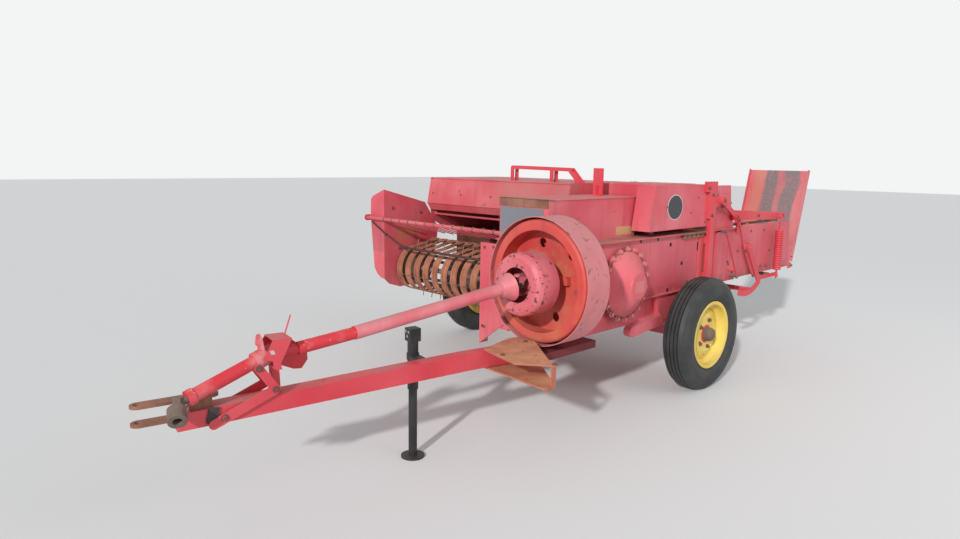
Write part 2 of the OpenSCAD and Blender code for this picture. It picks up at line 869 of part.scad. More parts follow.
module twine_lid() {
    x0 = -hinge_x;
    y0 = -twine_front;
    y1 = y0 + twine_len;
    z1 = twine_z + twine_h + seat;
    split_x = drive_box_left + 11;
    color(paint) difference() {
        union() {
            slab_z(z1, z1 + 3) polygon([
                [x0, y0], [split_x, y0], [split_x, y0 - twine_ahead + 44], [twine_left, y0 - twine_ahead + 44],
                [twine_left, y1], [x0, y1]
            ]);
            box(x0 + 60, twine_left - 60, y0 + 60, y1 - 60, z1 + 3, z1 + 7);
            for (y = [y0 + 90, y1 - 170]) {
                rod_y(6.5, y, y + 40, x0 - 10, z1 + 2 - seat);
                box(x0 - 10, x0 + 12, y, y + 40, z1, z1 + 3);
            }
        }
        rod_y(3 + fit, y0, y1, x0 - 10, z1 + 2 - seat);
    }
}

// Feeder

module feeder_hood() {
    t = sheet_t;
    y0 = -hood_front;
    y1 = hood_rear;
    z1 = hood_top;
    lip_z = z1 - 235;
    color(paint) {
        difference() {
            slab_x(-hood_reach, -hood_right) polygon([
                [y0, z1], [y0 - 35, z1 - 185], [y0 - 5, lip_z], [y0 - 2, lip_z], [y0 - 31, z1 - 184],
                [y0 + t, z1 - t], [y1 - t, z1 - t], [y1 - t, shelf_z], [y1, shelf_z], [y1, z1]
            ]);
            box(-half_w - corner_w - seat, 0, y1 - 20, y1 + 20, shelf_z - 1, chamber_top);
        }
        slab_x(-hood_reach, -hood_reach + t) polygon([
            [y0 - 5, lip_z], [y0 - 35, z1 - 185], [y0, z1], [y1, z1], [y1, shelf_z],
            [-deck_front, shelf_z], [y0 + 10, lip_z - 75]
        ]);
        slab_x(-hood_right - t, -hood_right) polygon([
            [y0 - 5, lip_z], [y0 - 35, z1 - 185], [y0, z1], [y1, z1], [y1, chamber_top],
            [-deck_front, chamber_top]
        ]);
        rod_x(7, -hood_reach + t, -hood_right - t, y0 + 40, lip_z - 34);
        for (x = [-hood_reach + t, -hood_right - t - 20]) {
            box(x, x + 20, y0 + 34, y0 + 46, lip_z - 34, lip_z + 30);
        }
    }
}

// Deck that the crop is fed across, its outer end wall and a shelf over the right wheel
module feed_deck() {
    t = wall_t;
    y0 = -deck_front;
    y1 = hood_rear - sheet_t;
    right = -half_w - corner_w;
    color(rust) {
        box(-deck_reach, right, y0, y1, chamber_z - t, chamber_z);
        box(-deck_reach - t, -deck_reach, y0, y1, chamber_z - t, shelf_z);
        box(-hood_reach, -deck_reach, y0, y1, shelf_z - t, shelf_z);
        box(-deck_reach, right, y1 - t, y1, chamber_z, shelf_z + 60);
        box(right, -half_w - 5, y0, y1, chamber_z - t, chamber_z);
        for (x = lift_arm_x) {
            difference() {
                slab_x(x + 14, x + 22) union() {
                    link([-lift_y, lift_z], [-lift_y, chamber_z - 30], 56);
                    translate([-lift_y - 28, chamber_z - 40]) square([56, 40 - t]);
                }
                rod_x(lift_pin_r + fit, x, x + 40, -lift_y, lift_z);
            }
        }
    }
}

// Bars and posts over the feeder, driven from the drive box
module feeder_linkage() {
    y = -455;
    zb = hood_top;
    zt = hood_top + 88;
    color(paint) {
        for (s = [0, 44]) {
            slab_y(y + s, y + s + 6) {
                link([-815, zt], [-330, zt - 8], 22);
                link([-330, zt - 8], [-262, zb + 11], 22);
                for (x = [-815, -470]) {
                    translate([x - 14, zb]) square([28, zt - zb]);
                }
                translate([-280, zb]) square([40, 14]);
            }
        }
        for (x = [-815, -470, -330]) {
            rod_y(8, y, y + 50, x, zt - (x == -815 ? 0 : 7));
        }
        box(-140, -70, y, y + 8, drive_box_top, zt + 6);
        box(-140, -70, y - 30, y + 8, drive_box_top, drive_box_top + 6);
        box(-104, -96, y - 30, y, drive_box_top, drive_box_top + 60);
    }
}

// Two forks inside the hood that pack the crop into the chamber
module packer_forks() {
    color(rust) for (x = [-1050, -560]) {
        rod_y(18, -300, -40, x, hood_top - 60);
        for (y = [-280, -170, -60]) {
            slab_y(y - 6, y + 6) {
                link([x, hood_top - 60], [x - 40, 960], 34);
                link([x - 40, 960], [x + 20, chamber_z + 80], 26);
            }
        }
        box(x - 8, x + 8, -300, -40, hood_top - 60, hood_top - sheet_t);
    }
}

// Pickup

// Outline of the outer end sheet in Y and Z
module end_sheet_outline() {
    y0 = -reel_y - 255;
    polygon([
        [y0, 500], [y0 + 40, 462], [y0 + 140, 430], [-470, 450], [-420, 600], [-385, 860],
        [-517, 1055], [y0, 1155]
    ]);
}

// Low bar across the mouth, on a bent rod from the flange and a link on the inner end plate
module crop_bar() {
    low_x = -pickup_reach + 130;
    stem_y = -reel_y - 255 - sheet_t - 6 - seat;
    bend = [-pickup_reach + 30, stem_y, guard_z - 112];
    bar([-pickup_reach - flare_w + 30, stem_y, guard_z - 32], bend, 6);
    rod_x(9, bend[0] - 9, bend[0] + 9, bend[1], bend[2]);
    bar(bend, [low_x, crop_low[0], crop_low[1]], 6);
    rod_x(9, low_x - 12, -pickup_inner - seat, crop_low[0], crop_low[1]);
}

// End sheets, the flared flange, lift arms, crop bar and the lugs that hold the windguard
module pickup_frame() {
    y0 = -reel_y - 255;
    color(paint) {
        difference() {
            union() {
                slab_x(-pickup_reach - sheet_t, -pickup_reach) end_sheet_outline();
                slab_y(y0 - sheet_t, y0) translate([-pickup_reach, 0]) polygon([
                    [0, 1157], [-38, 1142], [-flare_w + 26, 1102], [-flare_w + 4, 1078], [-flare_w, 960],
                    [-flare_w + 43, 575], [-flare_w + 80, 530], [-40, 506], [0, 502]
                ]);
                slab_x(-pickup_inner, -pickup_inner + 6) {
                    link([-reel_y, reel_z], [-reel_y + 175, reel_z - 150], 120);
                    link([-reel_y, reel_z], [-reel_y + 205, reel_z + 190], 120);
                    link([-reel_y, reel_z], [-guard_y + 10, guard_z - 10], 60);
                    translate([-reel_y, reel_z]) circle(band_r);
                }
                for (x = [-pickup_reach - flare_w - 10, -pickup_inner]) {
                    slab_x(x, x + 6) {
                        translate([-guard_y, guard_z]) circle(22);
                        translate([-guard_y, guard_z - 22]) square([guard_y + y0, 44]);
                    }
                }
                box(-pickup_reach - flare_w - 10, -pickup_reach - flare_w + 30, y0 - sheet_t - 3, y0 - sheet_t,
                    guard_z - 22, guard_z + 22);
                for (x = lift_arm_x) {
                    slab_x(x, x + lift_arm_t) link([-lift_y, lift_z], low_rail, 44);
                }
                for (x = lift_arm_x) {
                    rod_x(lift_pin_r, x, x + 30, -lift_y, lift_z);
                }
                slab_x(-pickup_inner, -pickup_inner + 6) link(crop_low, crop_low + [60, 20], 34);
            }
            rod_x(reel_shaft_r + fit, -pickup_reach - 20, -pickup_inner + 20, -reel_y, reel_z);
            rod_x(guard_r + fit, -bar_out, -pickup_inner + 20, -guard_y, guard_z);
            rod_x(rail_r + fit, -pickup_reach, -pickup_inner, low_rail[0], low_rail[1]);
        }
        crop_bar();
    }
}

// Section of a stripper band, radius from r0 to r1 round the reel, then tangents to the two rails
module band_section(r0, r1) {
    difference() {
        intersection() {
            translate([-reel_y, reel_z]) circle(r1, $fn = 96);
            translate([-reel_y - 2 * r1, reel_z - 2 * r1]) square([2 * r1, 4 * r1]);
        }
        translate([-reel_y, reel_z]) circle(r0, $fn = 96);
    }
    polygon([
        [-reel_y - 0.5, reel_z + r0], [-reel_y - 0.5, reel_z + r1], [-reel_y + 200, reel_z + r1 + 43],
        [-reel_y + 200, reel_z + r0 + 43]
    ]);
    polygon([
        [-reel_y - 0.5, reel_z - r1], [-reel_y - 0.5, reel_z - r0], [-reel_y + 170, reel_z - r0],
        [-reel_y + 170, reel_z - r1]
    ]);
}

module pickup_strippers() {
    color(rust) {
        for (k = [0:band_n - 1]) {
            x0 = band_left + k * band_pitch;
            slab_x(x0, x0 + band_w) band_section(band_r - 3, band_r);
            for (b = [9, band_w - 21]) {
                slab_x(x0 + b, x0 + b + 12) band_section(band_r - 2, band_r + 3);
            }
        }
        rod_x(rail_r, -pickup_reach, -pickup_inner, top_rail[0], top_rail[1]);
        rod_x(rail_r, -pickup_reach, -pickup_inner, low_rail[0], low_rail[1]);
    }
}

// Reel: shaft, end discs, tine bars, and a tine in every gap between the bands
module pickup_reel() {
    gap_mid = band_left + band_w + (band_pitch - band_w) / 2;
    color(steel) {
        rod_x(reel_shaft_r, -pickup_reach - 12, -pickup_inner + 12, -reel_y, reel_z);
        for (x = [band_left + 20, -1040, band_right - 28]) {
            rod_x(tine_bar_r + 14, x, x + 8, -reel_y, reel_z);
        }
        for (b = [0:tine_bars - 1]) {
            a = b * 360 / tine_bars + 20;
            y = -reel_y + tine_bar_r * cos(a);
            z = reel_z + tine_bar_r * sin(a);
            rod_x(11, band_left + 10, band_right - 10, y, z);
            for (k = [0:band_n - 2]) {
                x = gap_mid + k * band_pitch;
                tip = [x, -reel_y + tine_r * cos(a - 14), reel_z + tine_r * sin(a - 14)];
                bar([x, y, z], tip, 3);
            }
        }
    }
}

// Bar across the pickup's mouth with rods that trail back over the crop
module windguard() {
    x1 = -pickup_inner - 30;
    x0 = -pickup_reach + 40;
    drop = 16;
    color(paint) {
        rod_x(guard_r, -bar_out, -pickup_inner + 12, -guard_y, guard_z);
        for (k = [0:guard_rods - 1]) {
            x = x0 + (x1 - x0) * k / (guard_rods - 1);
            bar([x, -guard_y, guard_z], [x, -guard_y + guard_len * cos(drop), guard_z - guard_len * sin(drop)], 4);
        }
    }
}

// Tongue

// Moves a child from the tongue's own frame: x across, -y along the tongue from its pivot
module swung() {
    translate([swing_x, -swing_y, 0]) rotate([0, 0, -swing_angle]) children();
}

// Plates that the tongue swings between, with its pivot pin, on a carrier under the frame beams
module tongue_quadrant() {
    t = 8;
    z_up = tongue_z + tongue_rear_h + 6;
    z_low = tongue_z - t - 5;
    z_beam = chamber_z - beam_h;
    reach = quadrant_reach - swing_x;
    wall_y = 63;
    back_y = 525;
    half = 90;
    color(rust) translate([swing_x, -swing_y, 0]) {
        slab_z(z_up, z_up + t) polygon([
            [-50, wall_y + t], [-62, 13], [-3, -213], [250, -274], [reach, -160], [reach - 90, -114], [60, wall_y + t]
        ]);
        slab_z(z_low, z_low + t) polygon([
            [-half, back_y], [-half, wall_y + t], [-62, 8], [-30, -180], [reach, -215], [reach - 25, -135],
            [half, wall_y + t], [half, back_y]
        ]);
        box(-50, 60, wall_y, wall_y + t, z_low, z_up);
        for (x = [-half, half - t]) {
            box(x, x + t, wall_y + t, back_y, z_low, z_beam);
        }
        box(-half, half, wall_y + t, back_y, z_beam - t, z_beam);
        box(reach - 20, reach - 12, -176, -150, z_low, z_up);
        rod_z(swing_pin_r, z_low, z_up + t + 4, 0, 0);
    }
}

// Outline of the tongue from above
module tongue_plan() {
    wr = tongue_rear_w / 2;
    wn = tongue_nose_w / 2;
    polygon([[-wr, 0], [wr, 0], [wn, -tongue_len - nose_tip], [-wn, -tongue_len - nose_tip]]);
    circle(wr);
}

// Height of the tongue's top at a distance from its pivot
function tongue_top(a) =
    tongue_z + tongue_rear_h - (tongue_rear_h + tongue_drop - tongue_nose_h) * max(0, a - 300) / (tongue_len - 300);

// Tapered box beam with a pivot eye at its rear and a slot in its slanted nose for the lower hitch strap
module tongue_beam() {
    wr = tongue_rear_w / 2;
    z1 = tongue_z + tongue_rear_h;
    nose_z = tongue_z - tongue_drop;
    t = 6;
    inner = min(wr, tongue_nose_w / 2) - t;
    slot_z = hitch_z - hitch_gap / 2 - strap_t;
    color(paint) swung() difference() {
        intersection() {
            slab_z(nose_z - 10, z1 + 10) tongue_plan();
            slab_x(-wr - 20, wr + 20) polygon([
                [wr + 1, tongue_z], [wr + 1, z1], [-300, z1], [-tongue_len, nose_z + tongue_nose_h],
                [-tongue_len - nose_tip, nose_z], [-300, tongue_z]
            ]);
        }
        slab_x(-inner, inner) polygon([
            [-90, tongue_z + t], [-90, z1 - t], [-300, z1 - t], [-tongue_len + 40, nose_z + tongue_nose_h - t],
            [-tongue_len + 40, nose_z + t + 2], [-300, tongue_z + t]
        ]);
        box(-strap_w / 2 - seat, strap_w / 2 + seat, -tongue_len - 80, -tongue_len + 90, slot_z - seat,
            slot_z + strap_t + seat);
        rod_z(swing_pin_r + fit, tongue_z - 20, z1 + 20, 0, 0);
    }
}

// Two straps that take the drawbar between them: the upper one on a block over the nose
module hitch_straps() {
    z0 = hitch_z - hitch_gap / 2 - strap_t;
    z1 = hitch_z + hitch_gap / 2;
    tip = -tongue_len - strap_reach + strap_w / 2;
    w = strap_w / 2;
    back = -tongue_len + 60;
    color(rust) swung() difference() {
        union() {
            slab_z(z0, z0 + strap_t) link([0, tip], [0, back], strap_w);
            slab_z(z1, z1 + strap_t) link([0, tip], [0, back + 20], strap_w);
            slab_x(-w, w) polygon([
                [-tongue_len + 2, tongue_top(tongue_len) + seat + 0.2], [back + 20, tongue_top(-back - 20) + seat + 0.2],
                [back + 20, z1], [-tongue_len + 2, z1]
            ]);
        }
        rod_z(hitch_pin_r, z0 - 5, z1 + strap_t + 5, 0, -hitch_along);
    }
}

// Shield beside and over the middle of the drive line, its post, and the bent arms under the front guard
module shaft_stand() {
    side_x = tongue_nose_w / 2 + 6;
    peg_in = (tongue_rear_w + (tongue_nose_w - tongue_rear_w) * 1385 / (tongue_len + nose_tip)) / 2 + seat;
    near_x = 50;
    far_x = -46;
    t = 4;
    color(bright_paint) swung() {
        slab_x(near_x, near_x + t) polygon([
            [-1199, 687], [-1124, 686], [-1169, 597], [-1166, 570], [-1196, 575], [-1200, 607], [-1235, 617]
        ]);
        slab_x(far_x - t, far_x) polygon([
            [-1199, 687], [-1124, 686], [-1030, 602], [-1028, 565], [-1054, 531], [-1087, 534], [-1166, 570],
            [-1196, 575], [-1235, 617]
        ]);
        slab_x(far_x - t, near_x + t) polygon([[-1199, 687], [-1199, 690], [-1124, 689], [-1124, 686]]);
        slab_x(far_x, near_x) polygon([[-1166, 570], [-1166, 576], [-1196, 581], [-1196, 575]]);
        slab_x(-20, 20) polygon([
            [-1189, tongue_top(1189) + seat], [-1163, tongue_top(1163) + seat], [-1166, 572], [-1196, 577]
        ]);
        bar([-12, -1132, 688], [-12, -1106, 765], 3);
        for (s = [-1, 1]) {
            x0 = s > 0 ? side_x : -side_x - 6;
            slab_x(x0, x0 + 6) {
                link([-1423, 402], [-1193, 497], 38);
                link([-1193, 497], [-1254, 587], 34);
            }
            peg = s > 0 ? peg_in : -side_x - 14;
            rod_x(9, peg, peg + side_x + 14 - peg_in, -1385, 422);
            saddle = s > 0 ? near_x : -side_x;
            rod_x(8, saddle, saddle + (s > 0 ? 7 : 25), -1250, 585);
        }
    }
}

// Guard tubes over the drive shaft, in two lengths that meet inside the shield
module shaft_guards() {
    cone_a = [0, -line_cone[0], line_cone[1]];
    neck = [0, -line_neck[0], line_neck[1]];
    step = [0, -line_step[0], line_step[1]];
    stand = [0, -line_stand[0], line_stand[1]];
    cap = [0, -line_cap[0], line_cap[1]];
    d = neck - cone_a;
    front_dir = (line_end - cap) / norm(line_end - cap);
    color(paint) swung() {
        bar(neck, step, guard_rear_r);
        bar(step + (step - stand) * 0.08, stand, guard_rear_r - 3);
        bar(stand + [0, 12, 0], cap - [0, 12, 0], 19);
        bar(cap, cap + front_dir * 84, 36);
        bar(cap + front_dir * 20, line_end - front_dir * 6, guard_front_r);
        bar(line_end - front_dir * 26, line_end, guard_front_r + 5);
        translate(cone_a) rotate([0, acos(d[2] / norm(d)), atan2(d[1], d[0])]) difference() {
            cylinder(r1 = 68, r2 = guard_rear_r + 3, h = norm(d) + 4);
            translate([0, 0, -1]) cylinder(r1 = 65, r2 = guard_rear_r - 4, h = norm(d));
        }
        slab_y(-1237, -1233) {
            intersection() {
                translate([5, 650]) circle(57);
                translate([-60, 655]) square([140, 80]);
            }
            translate([-15, 620]) square([40, 45]);
        }
    }
}

// Moving half of the drive joint: cross and yoke on the end of the shaft
module drive_joint() {
    short = 1 + seat;
    color(dark) swung() translate([0, 0, fly_z]) {
        rod_x(9, -30, 30, 0, 0);
        rod_z(9, -30, 30, 0, 0);
        for (x = [-30, 18]) {
            box(x, x + 12, -60, 0, -14, 14);
            rod_x(14, x, x + 12, 0, 0);
        }
        rod_y(30, -72, -52, 0, -6);
        bar([0, 24 * neck_dir[0] - line_neck[0], line_neck[1] - 24 * neck_dir[1] - fly_z],
            [0, short * neck_dir[0] - line_neck[0], line_neck[1] - short * neck_dir[1] - fly_z], 20);
    }
}

// Yoke at the hitch end, hanging to one side with its bore open
module front_yoke() {
    color(dark) swung() {
        bar(line_end, joint_mid, 15);
        translate(joint_mid) {
            rod_x(9, -27, 27, 0, 0);
            rod_z(9, -30, 30, 0, 0);
            rotate([0, 0, yoke_turn[2]]) rotate([0, yoke_turn[1], 0]) difference() {
                union() {
                    translate([0, 0, 22]) cylinder(r = 33, h = 56);
                    for (x = [-30, 20]) {
                        translate([x, -13, -14]) cube([10, 26, 40]);
                    }
                }
                translate([0, 0, 30]) cylinder(r = yoke_bore_r, h = 60);
            }
        }
    }
}

// Jack

// Sleeve of the jack, with its gear head, on a bracket at the tongue's side
module jack_sleeve() {
    x = jack_x;
    y = -jack_along;
    color(black) swung() {
        difference() {
            union() {
                rod_z(jack_r + 5, 330, 560, x, y);
                rod_z(jack_r + 9, 470, 500, x, y);
                box(x, x + 80, y - 26, y + 26, 430, 490);
                box(x - 27, x + 27, y - 27, y + 27, 557, 617);
            }
            rod_z(jack_r + fit, 300, 612, x, y);
            slab_z(400, 520) tongue_plan();
        }
    }
}

module jack_leg() {
    x = jack_x;
    y = -jack_along;
    color(black) swung() {
        rod_z(jack_r, 8, jack_top, x, y);
        rod_z(jack_foot_r, 0, 8, x, y);
    }
}

// Knotters and needles

// Upright that carries the knotter drive on the left side plate
module knotter_stand() {
    x0 = half_w + corner_w;
    x1 = x0 + 22;
    color(paint) {
        slab_x(x0, x1) {
            translate([228, chamber_z - 100]) square([57, knotter_z + 100 - chamber_z + 100]);
            translate([205, knotter_z - 75]) square([85, 180]);
            translate([166, knotter_z + 95]) square([131, 65]);
        }
        rod_x(28, x1, x1 + 26, 354, 1143);
        slab_x(x0, x1) link([260, 1120], [354, 1143], 50);
        slab_x(x1, x1 + 12) link([354, 1143], [566, 1030], 34);
        rod_x(16, x1, x1 + 18, 566, 1030);
        slab_x(x1 + 12, x1 + 20) {
            link([590, 1007], [707, 791], 14);
            link([707, 791], [862, 601], 14);
            link([566, 1030], [590, 1007], 20);
        }
        bar([x1 + 5, 440, 945], [x1 + 5, 651, 606], 5);
        rod_x(6, half_w + seat, x1 + 5, 620, 655);
        box(x1, x1 + 12, 560, 600, 990, 1030);
        box(half_w, x0, 236, 284, chamber_z + 30, chamber_z + 90);
        box(half_w, x0, 236, 284, chamber_top - 80, chamber_top - 30);
    }
}

module knotter_frame() {
    color(paint) {
        box(-half_w, half_w, closed_rear - 60, closed_rear - 20, chamber_top, chamber_top + 30);
        for (x = [-half_w, -6, half_w - 12]) {
            slab_x(x, x + 12) difference() {
                polygon([
                    [240, chamber_top], [620, chamber_top], [620, chamber_top + 60], [560, knotter_z + 70],
                    [430, knotter_z + 70]
                ]);
                translate([knotter_y, knotter_z]) circle(16 + fit);
            }
        }
        slab_x(half_w - 15, half_w - 12) difference() {
            polygon([
                [300, knotter_z - 90], [600, knotter_z - 90], [620, knotter_z - 37], [594, knotter_z + 131],
                [300, knotter_z + 131]
            ]);
            translate([knotter_y, knotter_z]) circle(16 + fit);
        }
    }
}

// Knotter discs, cams, hooks and their shaft
module knotters() {
    color(steel) {
        rod_x(16, -half_w - 10, half_w + 18, knotter_y, knotter_z);
        for (c = [-needle_x, needle_x]) {
            difference() {
                rod_x(knotter_r, c + 26, c + 38, knotter_y, knotter_z);
                for (a = [0:60:300]) {
                    rod_x(13, c + 20, c + 44, knotter_y + 58 * cos(a), knotter_z + 58 * sin(a));
                }
            }
            rod_x(34, c + 20, c + 60, knotter_y, knotter_z);
            rod_x(30, c - 66, c - 40, knotter_y, knotter_z);
            slab_x(c - 58, c - 48) {
                link([knotter_y, knotter_z], [knotter_y + 62, knotter_z - 60], 30);
                link([knotter_y + 62, knotter_z - 60], [knotter_y + 20, knotter_z - 120], 18);
            }
            bar([c - 53, knotter_y + 20, knotter_z - 120], [c - 10, knotter_y + 30, knotter_z - 118], 6);
        }
    }
}

// A wedge from the needle yoke's pivot between two angles, measured down from the hitch side
module yoke_wedge(a0, a1) {
    r = needle_r + 60;
    polygon([for (a = [a0, (a0 + a1) / 2, a1]) [-r * cos(a), -r * sin(a)], [0, 0]]);
}

// Yoke that swings under the chamber and carries the two curved needles
module needle_yoke() {
    arm_in = half_w + 32;
    rim_r0 = 305;
    rim_r1 = 345;
    bar_a = 106;
    bar_y = yoke_y - (rim_r0 + rim_r1) / 2 * cos(bar_a);
    bar_z = yoke_z - (rim_r0 + rim_r1) / 2 * sin(bar_a);
    end_a = 127;
    color(bright_paint) {
        difference() {
            union() {
                for (s = [-1, 1]) {
                    x0 = s > 0 ? arm_in : -arm_in - 10;
                    slab_x(x0, x0 + 10) {
                        link([yoke_y, yoke_z], [yoke_y - 322 * cos(end_a), yoke_z - 322 * sin(end_a)], 46);
                        translate([yoke_y, yoke_z]) circle(30);
                        translate([yoke_y, yoke_z]) intersection() {
                            difference() {
                                circle(rim_r1, $fn = 128);
                                circle(rim_r0, $fn = 128);
                            }
                            yoke_wedge(70, end_a);
                        }
                    }
                }
                rod_x(17, -arm_in - 10, arm_in + 10, bar_y, bar_z);
            }
            rod_x(14 + fit, -arm_in - 40, arm_in + 40, yoke_y, yoke_z);
        }
        for (c = [-needle_x, needle_x]) {
            slab_x(c - needle_t / 2, c + needle_t / 2) {
                translate([yoke_y, yoke_z]) intersection() {
                    difference() {
                        circle(needle_r + needle_d / 2, $fn = 128);
                        circle(needle_r - needle_d / 2, $fn = 128);
                    }
                    yoke_wedge(tip_angle + 2, 78);
                }
                link([yoke_y - needle_r * cos(76), yoke_z - needle_r * sin(76)], [bar_y, bar_z], needle_d);
            }
        }
    }
}

// Chute

// Tray hinged under the chamber's rear end, folded up, on knuckles round a cross pin
module bale_chute() {
    t = 4;
    inner = chute_w / 2;
    color(paint) {
        translate([0, chute_y, chute_z]) rotate([chute_fold, 0, 0]) difference() {
            union() {
                box(-inner, inner, 32, chute_len, -chute_pin_r, -chute_pin_r + t);
                for (x = [-inner, inner - t]) {
                    box(x, x + t, 70, chute_len, -chute_pin_r, chute_side - chute_pin_r);
                }
                for (x = [-190, 110]) {
                    rod_x(chute_pin_r + 8, x, x + 80, 0, 0);
                    box(x, x + 80, 0, 40, -chute_pin_r, -chute_pin_r + t);
                }
            }
            rod_x(chute_pin_r + fit, -inner - 1, inner + 1, 0, 0);
        }
    }
}

placed() left_side_plate();
placed() right_side_plate();
placed() chamber_floor();
placed() chamber_top();
placed() bale_rails();
placed() tension_arms();
placed() tension_springs();
placed() plunger();
placed() front_plate();
placed() frame_beams();
placed() axle_beam();
placed() gearbox();
placed() gear_cover();
placed() flywheel_hoop();
placed() flywheel();
placed() flywheel_drum();
placed() left_rim();
placed() left_tyre();
placed() right_rim();
placed() right_tyre();
placed() drive_box();
placed() twine_box();
placed() twine_lid();
placed() feeder_hood();
placed() feed_deck();
placed() feeder_linkage();
placed() packer_forks();
placed() pickup_frame();
placed() pickup_strippers();
placed() pickup_reel();
placed() windguard();
placed() tongue_quadrant();
placed() tongue_beam();
placed() hitch_straps();
placed() shaft_stand();
placed() shaft_guards();
placed() drive_joint();
placed() front_yoke();
placed() jack_sleeve();
placed() jack_leg();
placed() knotter_stand();
placed() knotter_frame();
placed() knotters();
placed() needle_yoke();
placed() measuring_bracket();
placed() measuring_wheel();
placed() bale_chute();
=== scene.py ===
import math

import bmesh
import bpy
from mathutils import Matrix, Vector


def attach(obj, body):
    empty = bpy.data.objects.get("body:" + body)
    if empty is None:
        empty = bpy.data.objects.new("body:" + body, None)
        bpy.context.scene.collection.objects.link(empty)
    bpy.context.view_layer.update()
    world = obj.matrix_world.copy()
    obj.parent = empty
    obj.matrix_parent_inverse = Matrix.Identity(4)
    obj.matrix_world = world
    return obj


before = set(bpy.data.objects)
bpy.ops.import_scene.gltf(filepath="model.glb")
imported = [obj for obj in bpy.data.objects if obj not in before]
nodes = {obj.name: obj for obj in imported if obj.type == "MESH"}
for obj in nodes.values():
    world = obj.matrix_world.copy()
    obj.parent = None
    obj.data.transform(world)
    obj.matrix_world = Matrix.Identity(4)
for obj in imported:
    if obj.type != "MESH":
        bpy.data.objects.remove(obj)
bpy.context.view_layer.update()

SHIFT = Vector((0.623, 0.6289, 0.0))
SWING = math.radians(-9.6)
SWING_AT = (200, -1475)
HALF_W = 233.5
PLATE_Y = -1173
GEAR = (-640, 702)
AXLE_Z = 346
GUARD_JOIN_Y = -2309
TONGUE_FRONT_Y = -4000
CHUTE_MIDDLE = 0.573
WEB_BAND = (-0.662, -0.612)
DRUM_FACE_BAND = (-0.772, -0.812)
SHARP = 32


def at(x, y, z):
    """A place in millimetres as the scene's metres."""
    return Vector((x, y, z)) / 1000 + SHIFT


def on_tongue(x, y, z):
    """A place in the tongue's own frame, which is turned to the pickup's side."""
    c, s = math.cos(SWING), math.sin(SWING)
    return at(SWING_AT[0] + x * c - y * s, SWING_AT[1] + x * s + y * c, z)


# Material helpers

def socket_of(tree, name, kind, low=None):
    socket = tree.interface.new_socket(name=name, in_out="OUTPUT" if low is None else "INPUT", socket_type=kind)
    if low is not None:
        socket.default_value = low
    return socket


def noise(tree, vector, scale, detail=4.0, rough=0.55):
    n = tree.nodes.new("ShaderNodeTexNoise")
    n.inputs["Scale"].default_value = scale
    n.inputs["Detail"].default_value = detail
    n.inputs["Roughness"].default_value = rough
    tree.links.new(vector, n.inputs["Vector"])
    return n.outputs["Fac"]


def stretched(tree, vector, scale):
    m = tree.nodes.new("ShaderNodeMapping")
    m.inputs["Scale"].default_value = scale
    tree.links.new(vector, m.inputs["Vector"])
    return m.outputs["Vector"]


def ramp(tree, value, low, high, to_low=0.0, to_high=1.0):
    """Turns a value between low and high into one between to_low and to_high; low and high may be sockets."""
    m = tree.nodes.new("ShaderNodeMapRange")
    m.clamp = True
    for name, v in (("Value", value), ("From Min", low), ("From Max", high), ("To Min", to_low), ("To Max", to_high)):
        if isinstance(v, (int, float)):
            m.inputs[name].default_value = v
        else:
            tree.links.new(v, m.inputs[name])
    return m.outputs["Result"]


def calc(tree, kind, a, b):
    m = tree.nodes.new("ShaderNodeMath")
    m.operation = kind
    m.use_clamp = kind in ("MULTIPLY", "ADD")
    for i, v in enumerate((a, b)):
        if isinstance(v, (int, float)):
            m.inputs[i].default_value = v
        else:
            tree.links.new(v, m.inputs[i])
    return m.outputs[0]


def mixed(tree, mask, first, second):
    m = tree.nodes.new("ShaderNodeMix")
    m.data_type = "RGBA"
    for i, v in ((0, mask), (6, first), (7, second)):
        if isinstance(v, (int, float)):
            m.inputs[i].default_value = v
        elif isinstance(v, tuple):
            m.inputs[i].default_value = (*v, 1.0)
        else:
            tree.links.new(v, m.inputs[i])
    return m.outputs[2]


def weather_group():
    """Masks of fading, rust, streaks, dust and grain, used by every enamel and iron finish."""
    g = bpy.data.node_groups.new("weather_masks", "ShaderNodeTree")
    socket_of(g, "Patch Scale", "NodeSocketFloat", 2.5)
    socket_of(g, "Rust Start", "NodeSocketFloat", 0.62)
    for name in ("Fade", "Rust", "Streak", "Dust", "Grain"):
        socket_of(g, name, "NodeSocketFloat")
    enter = g.nodes.new("NodeGroupInput")
    leave = g.nodes.new("NodeGroupOutput")
    place = g.nodes.new("ShaderNodeTexCoord").outputs["Object"]
    fade = g.nodes.new("ShaderNodeTexNoise")
    fade.inputs["Detail"].default_value = 5
    g.links.new(place, fade.inputs["Vector"])
    g.links.new(enter.outputs["Patch Scale"], fade.inputs["Scale"])
    rust = noise(g, place, 17, 9, 0.68)
    broad = noise(g, place, 3.1, 3)
    rust = calc(g, "ADD", calc(g, "MULTIPLY", rust, 0.72), calc(g, "MULTIPLY", broad, 0.28))
    rust_end = calc(g, "ADD", enter.outputs["Rust Start"], 0.05)
    streak = noise(g, stretched(g, place, (22, 22, 1.6)), 1.0, 5, 0.6)
    up = g.nodes.new("ShaderNodeSeparateXYZ")
    g.links.new(g.nodes.new("ShaderNodeNewGeometry").outputs["Normal"], up.inputs[0])
    dust_patch = ramp(g, noise(g, place, 6, 6), 0.35, 0.62)
    dust = calc(g, "MULTIPLY", ramp(g, up.outputs["Z"], 0.5, 0.95), dust_patch)
    grain = noise(g, place, 160, 3)
    for name, value in (("Fade", ramp(g, fade.outputs["Fac"], 0.36, 0.66)),
                        ("Rust", ramp(g, rust, enter.outputs["Rust Start"], rust_end)),
                        ("Streak", ramp(g, streak, 0.54, 0.74)), ("Dust", dust), ("Grain", grain)):
        g.links.new(value, leave.inputs[name])
    return g


WEATHER = weather_group()


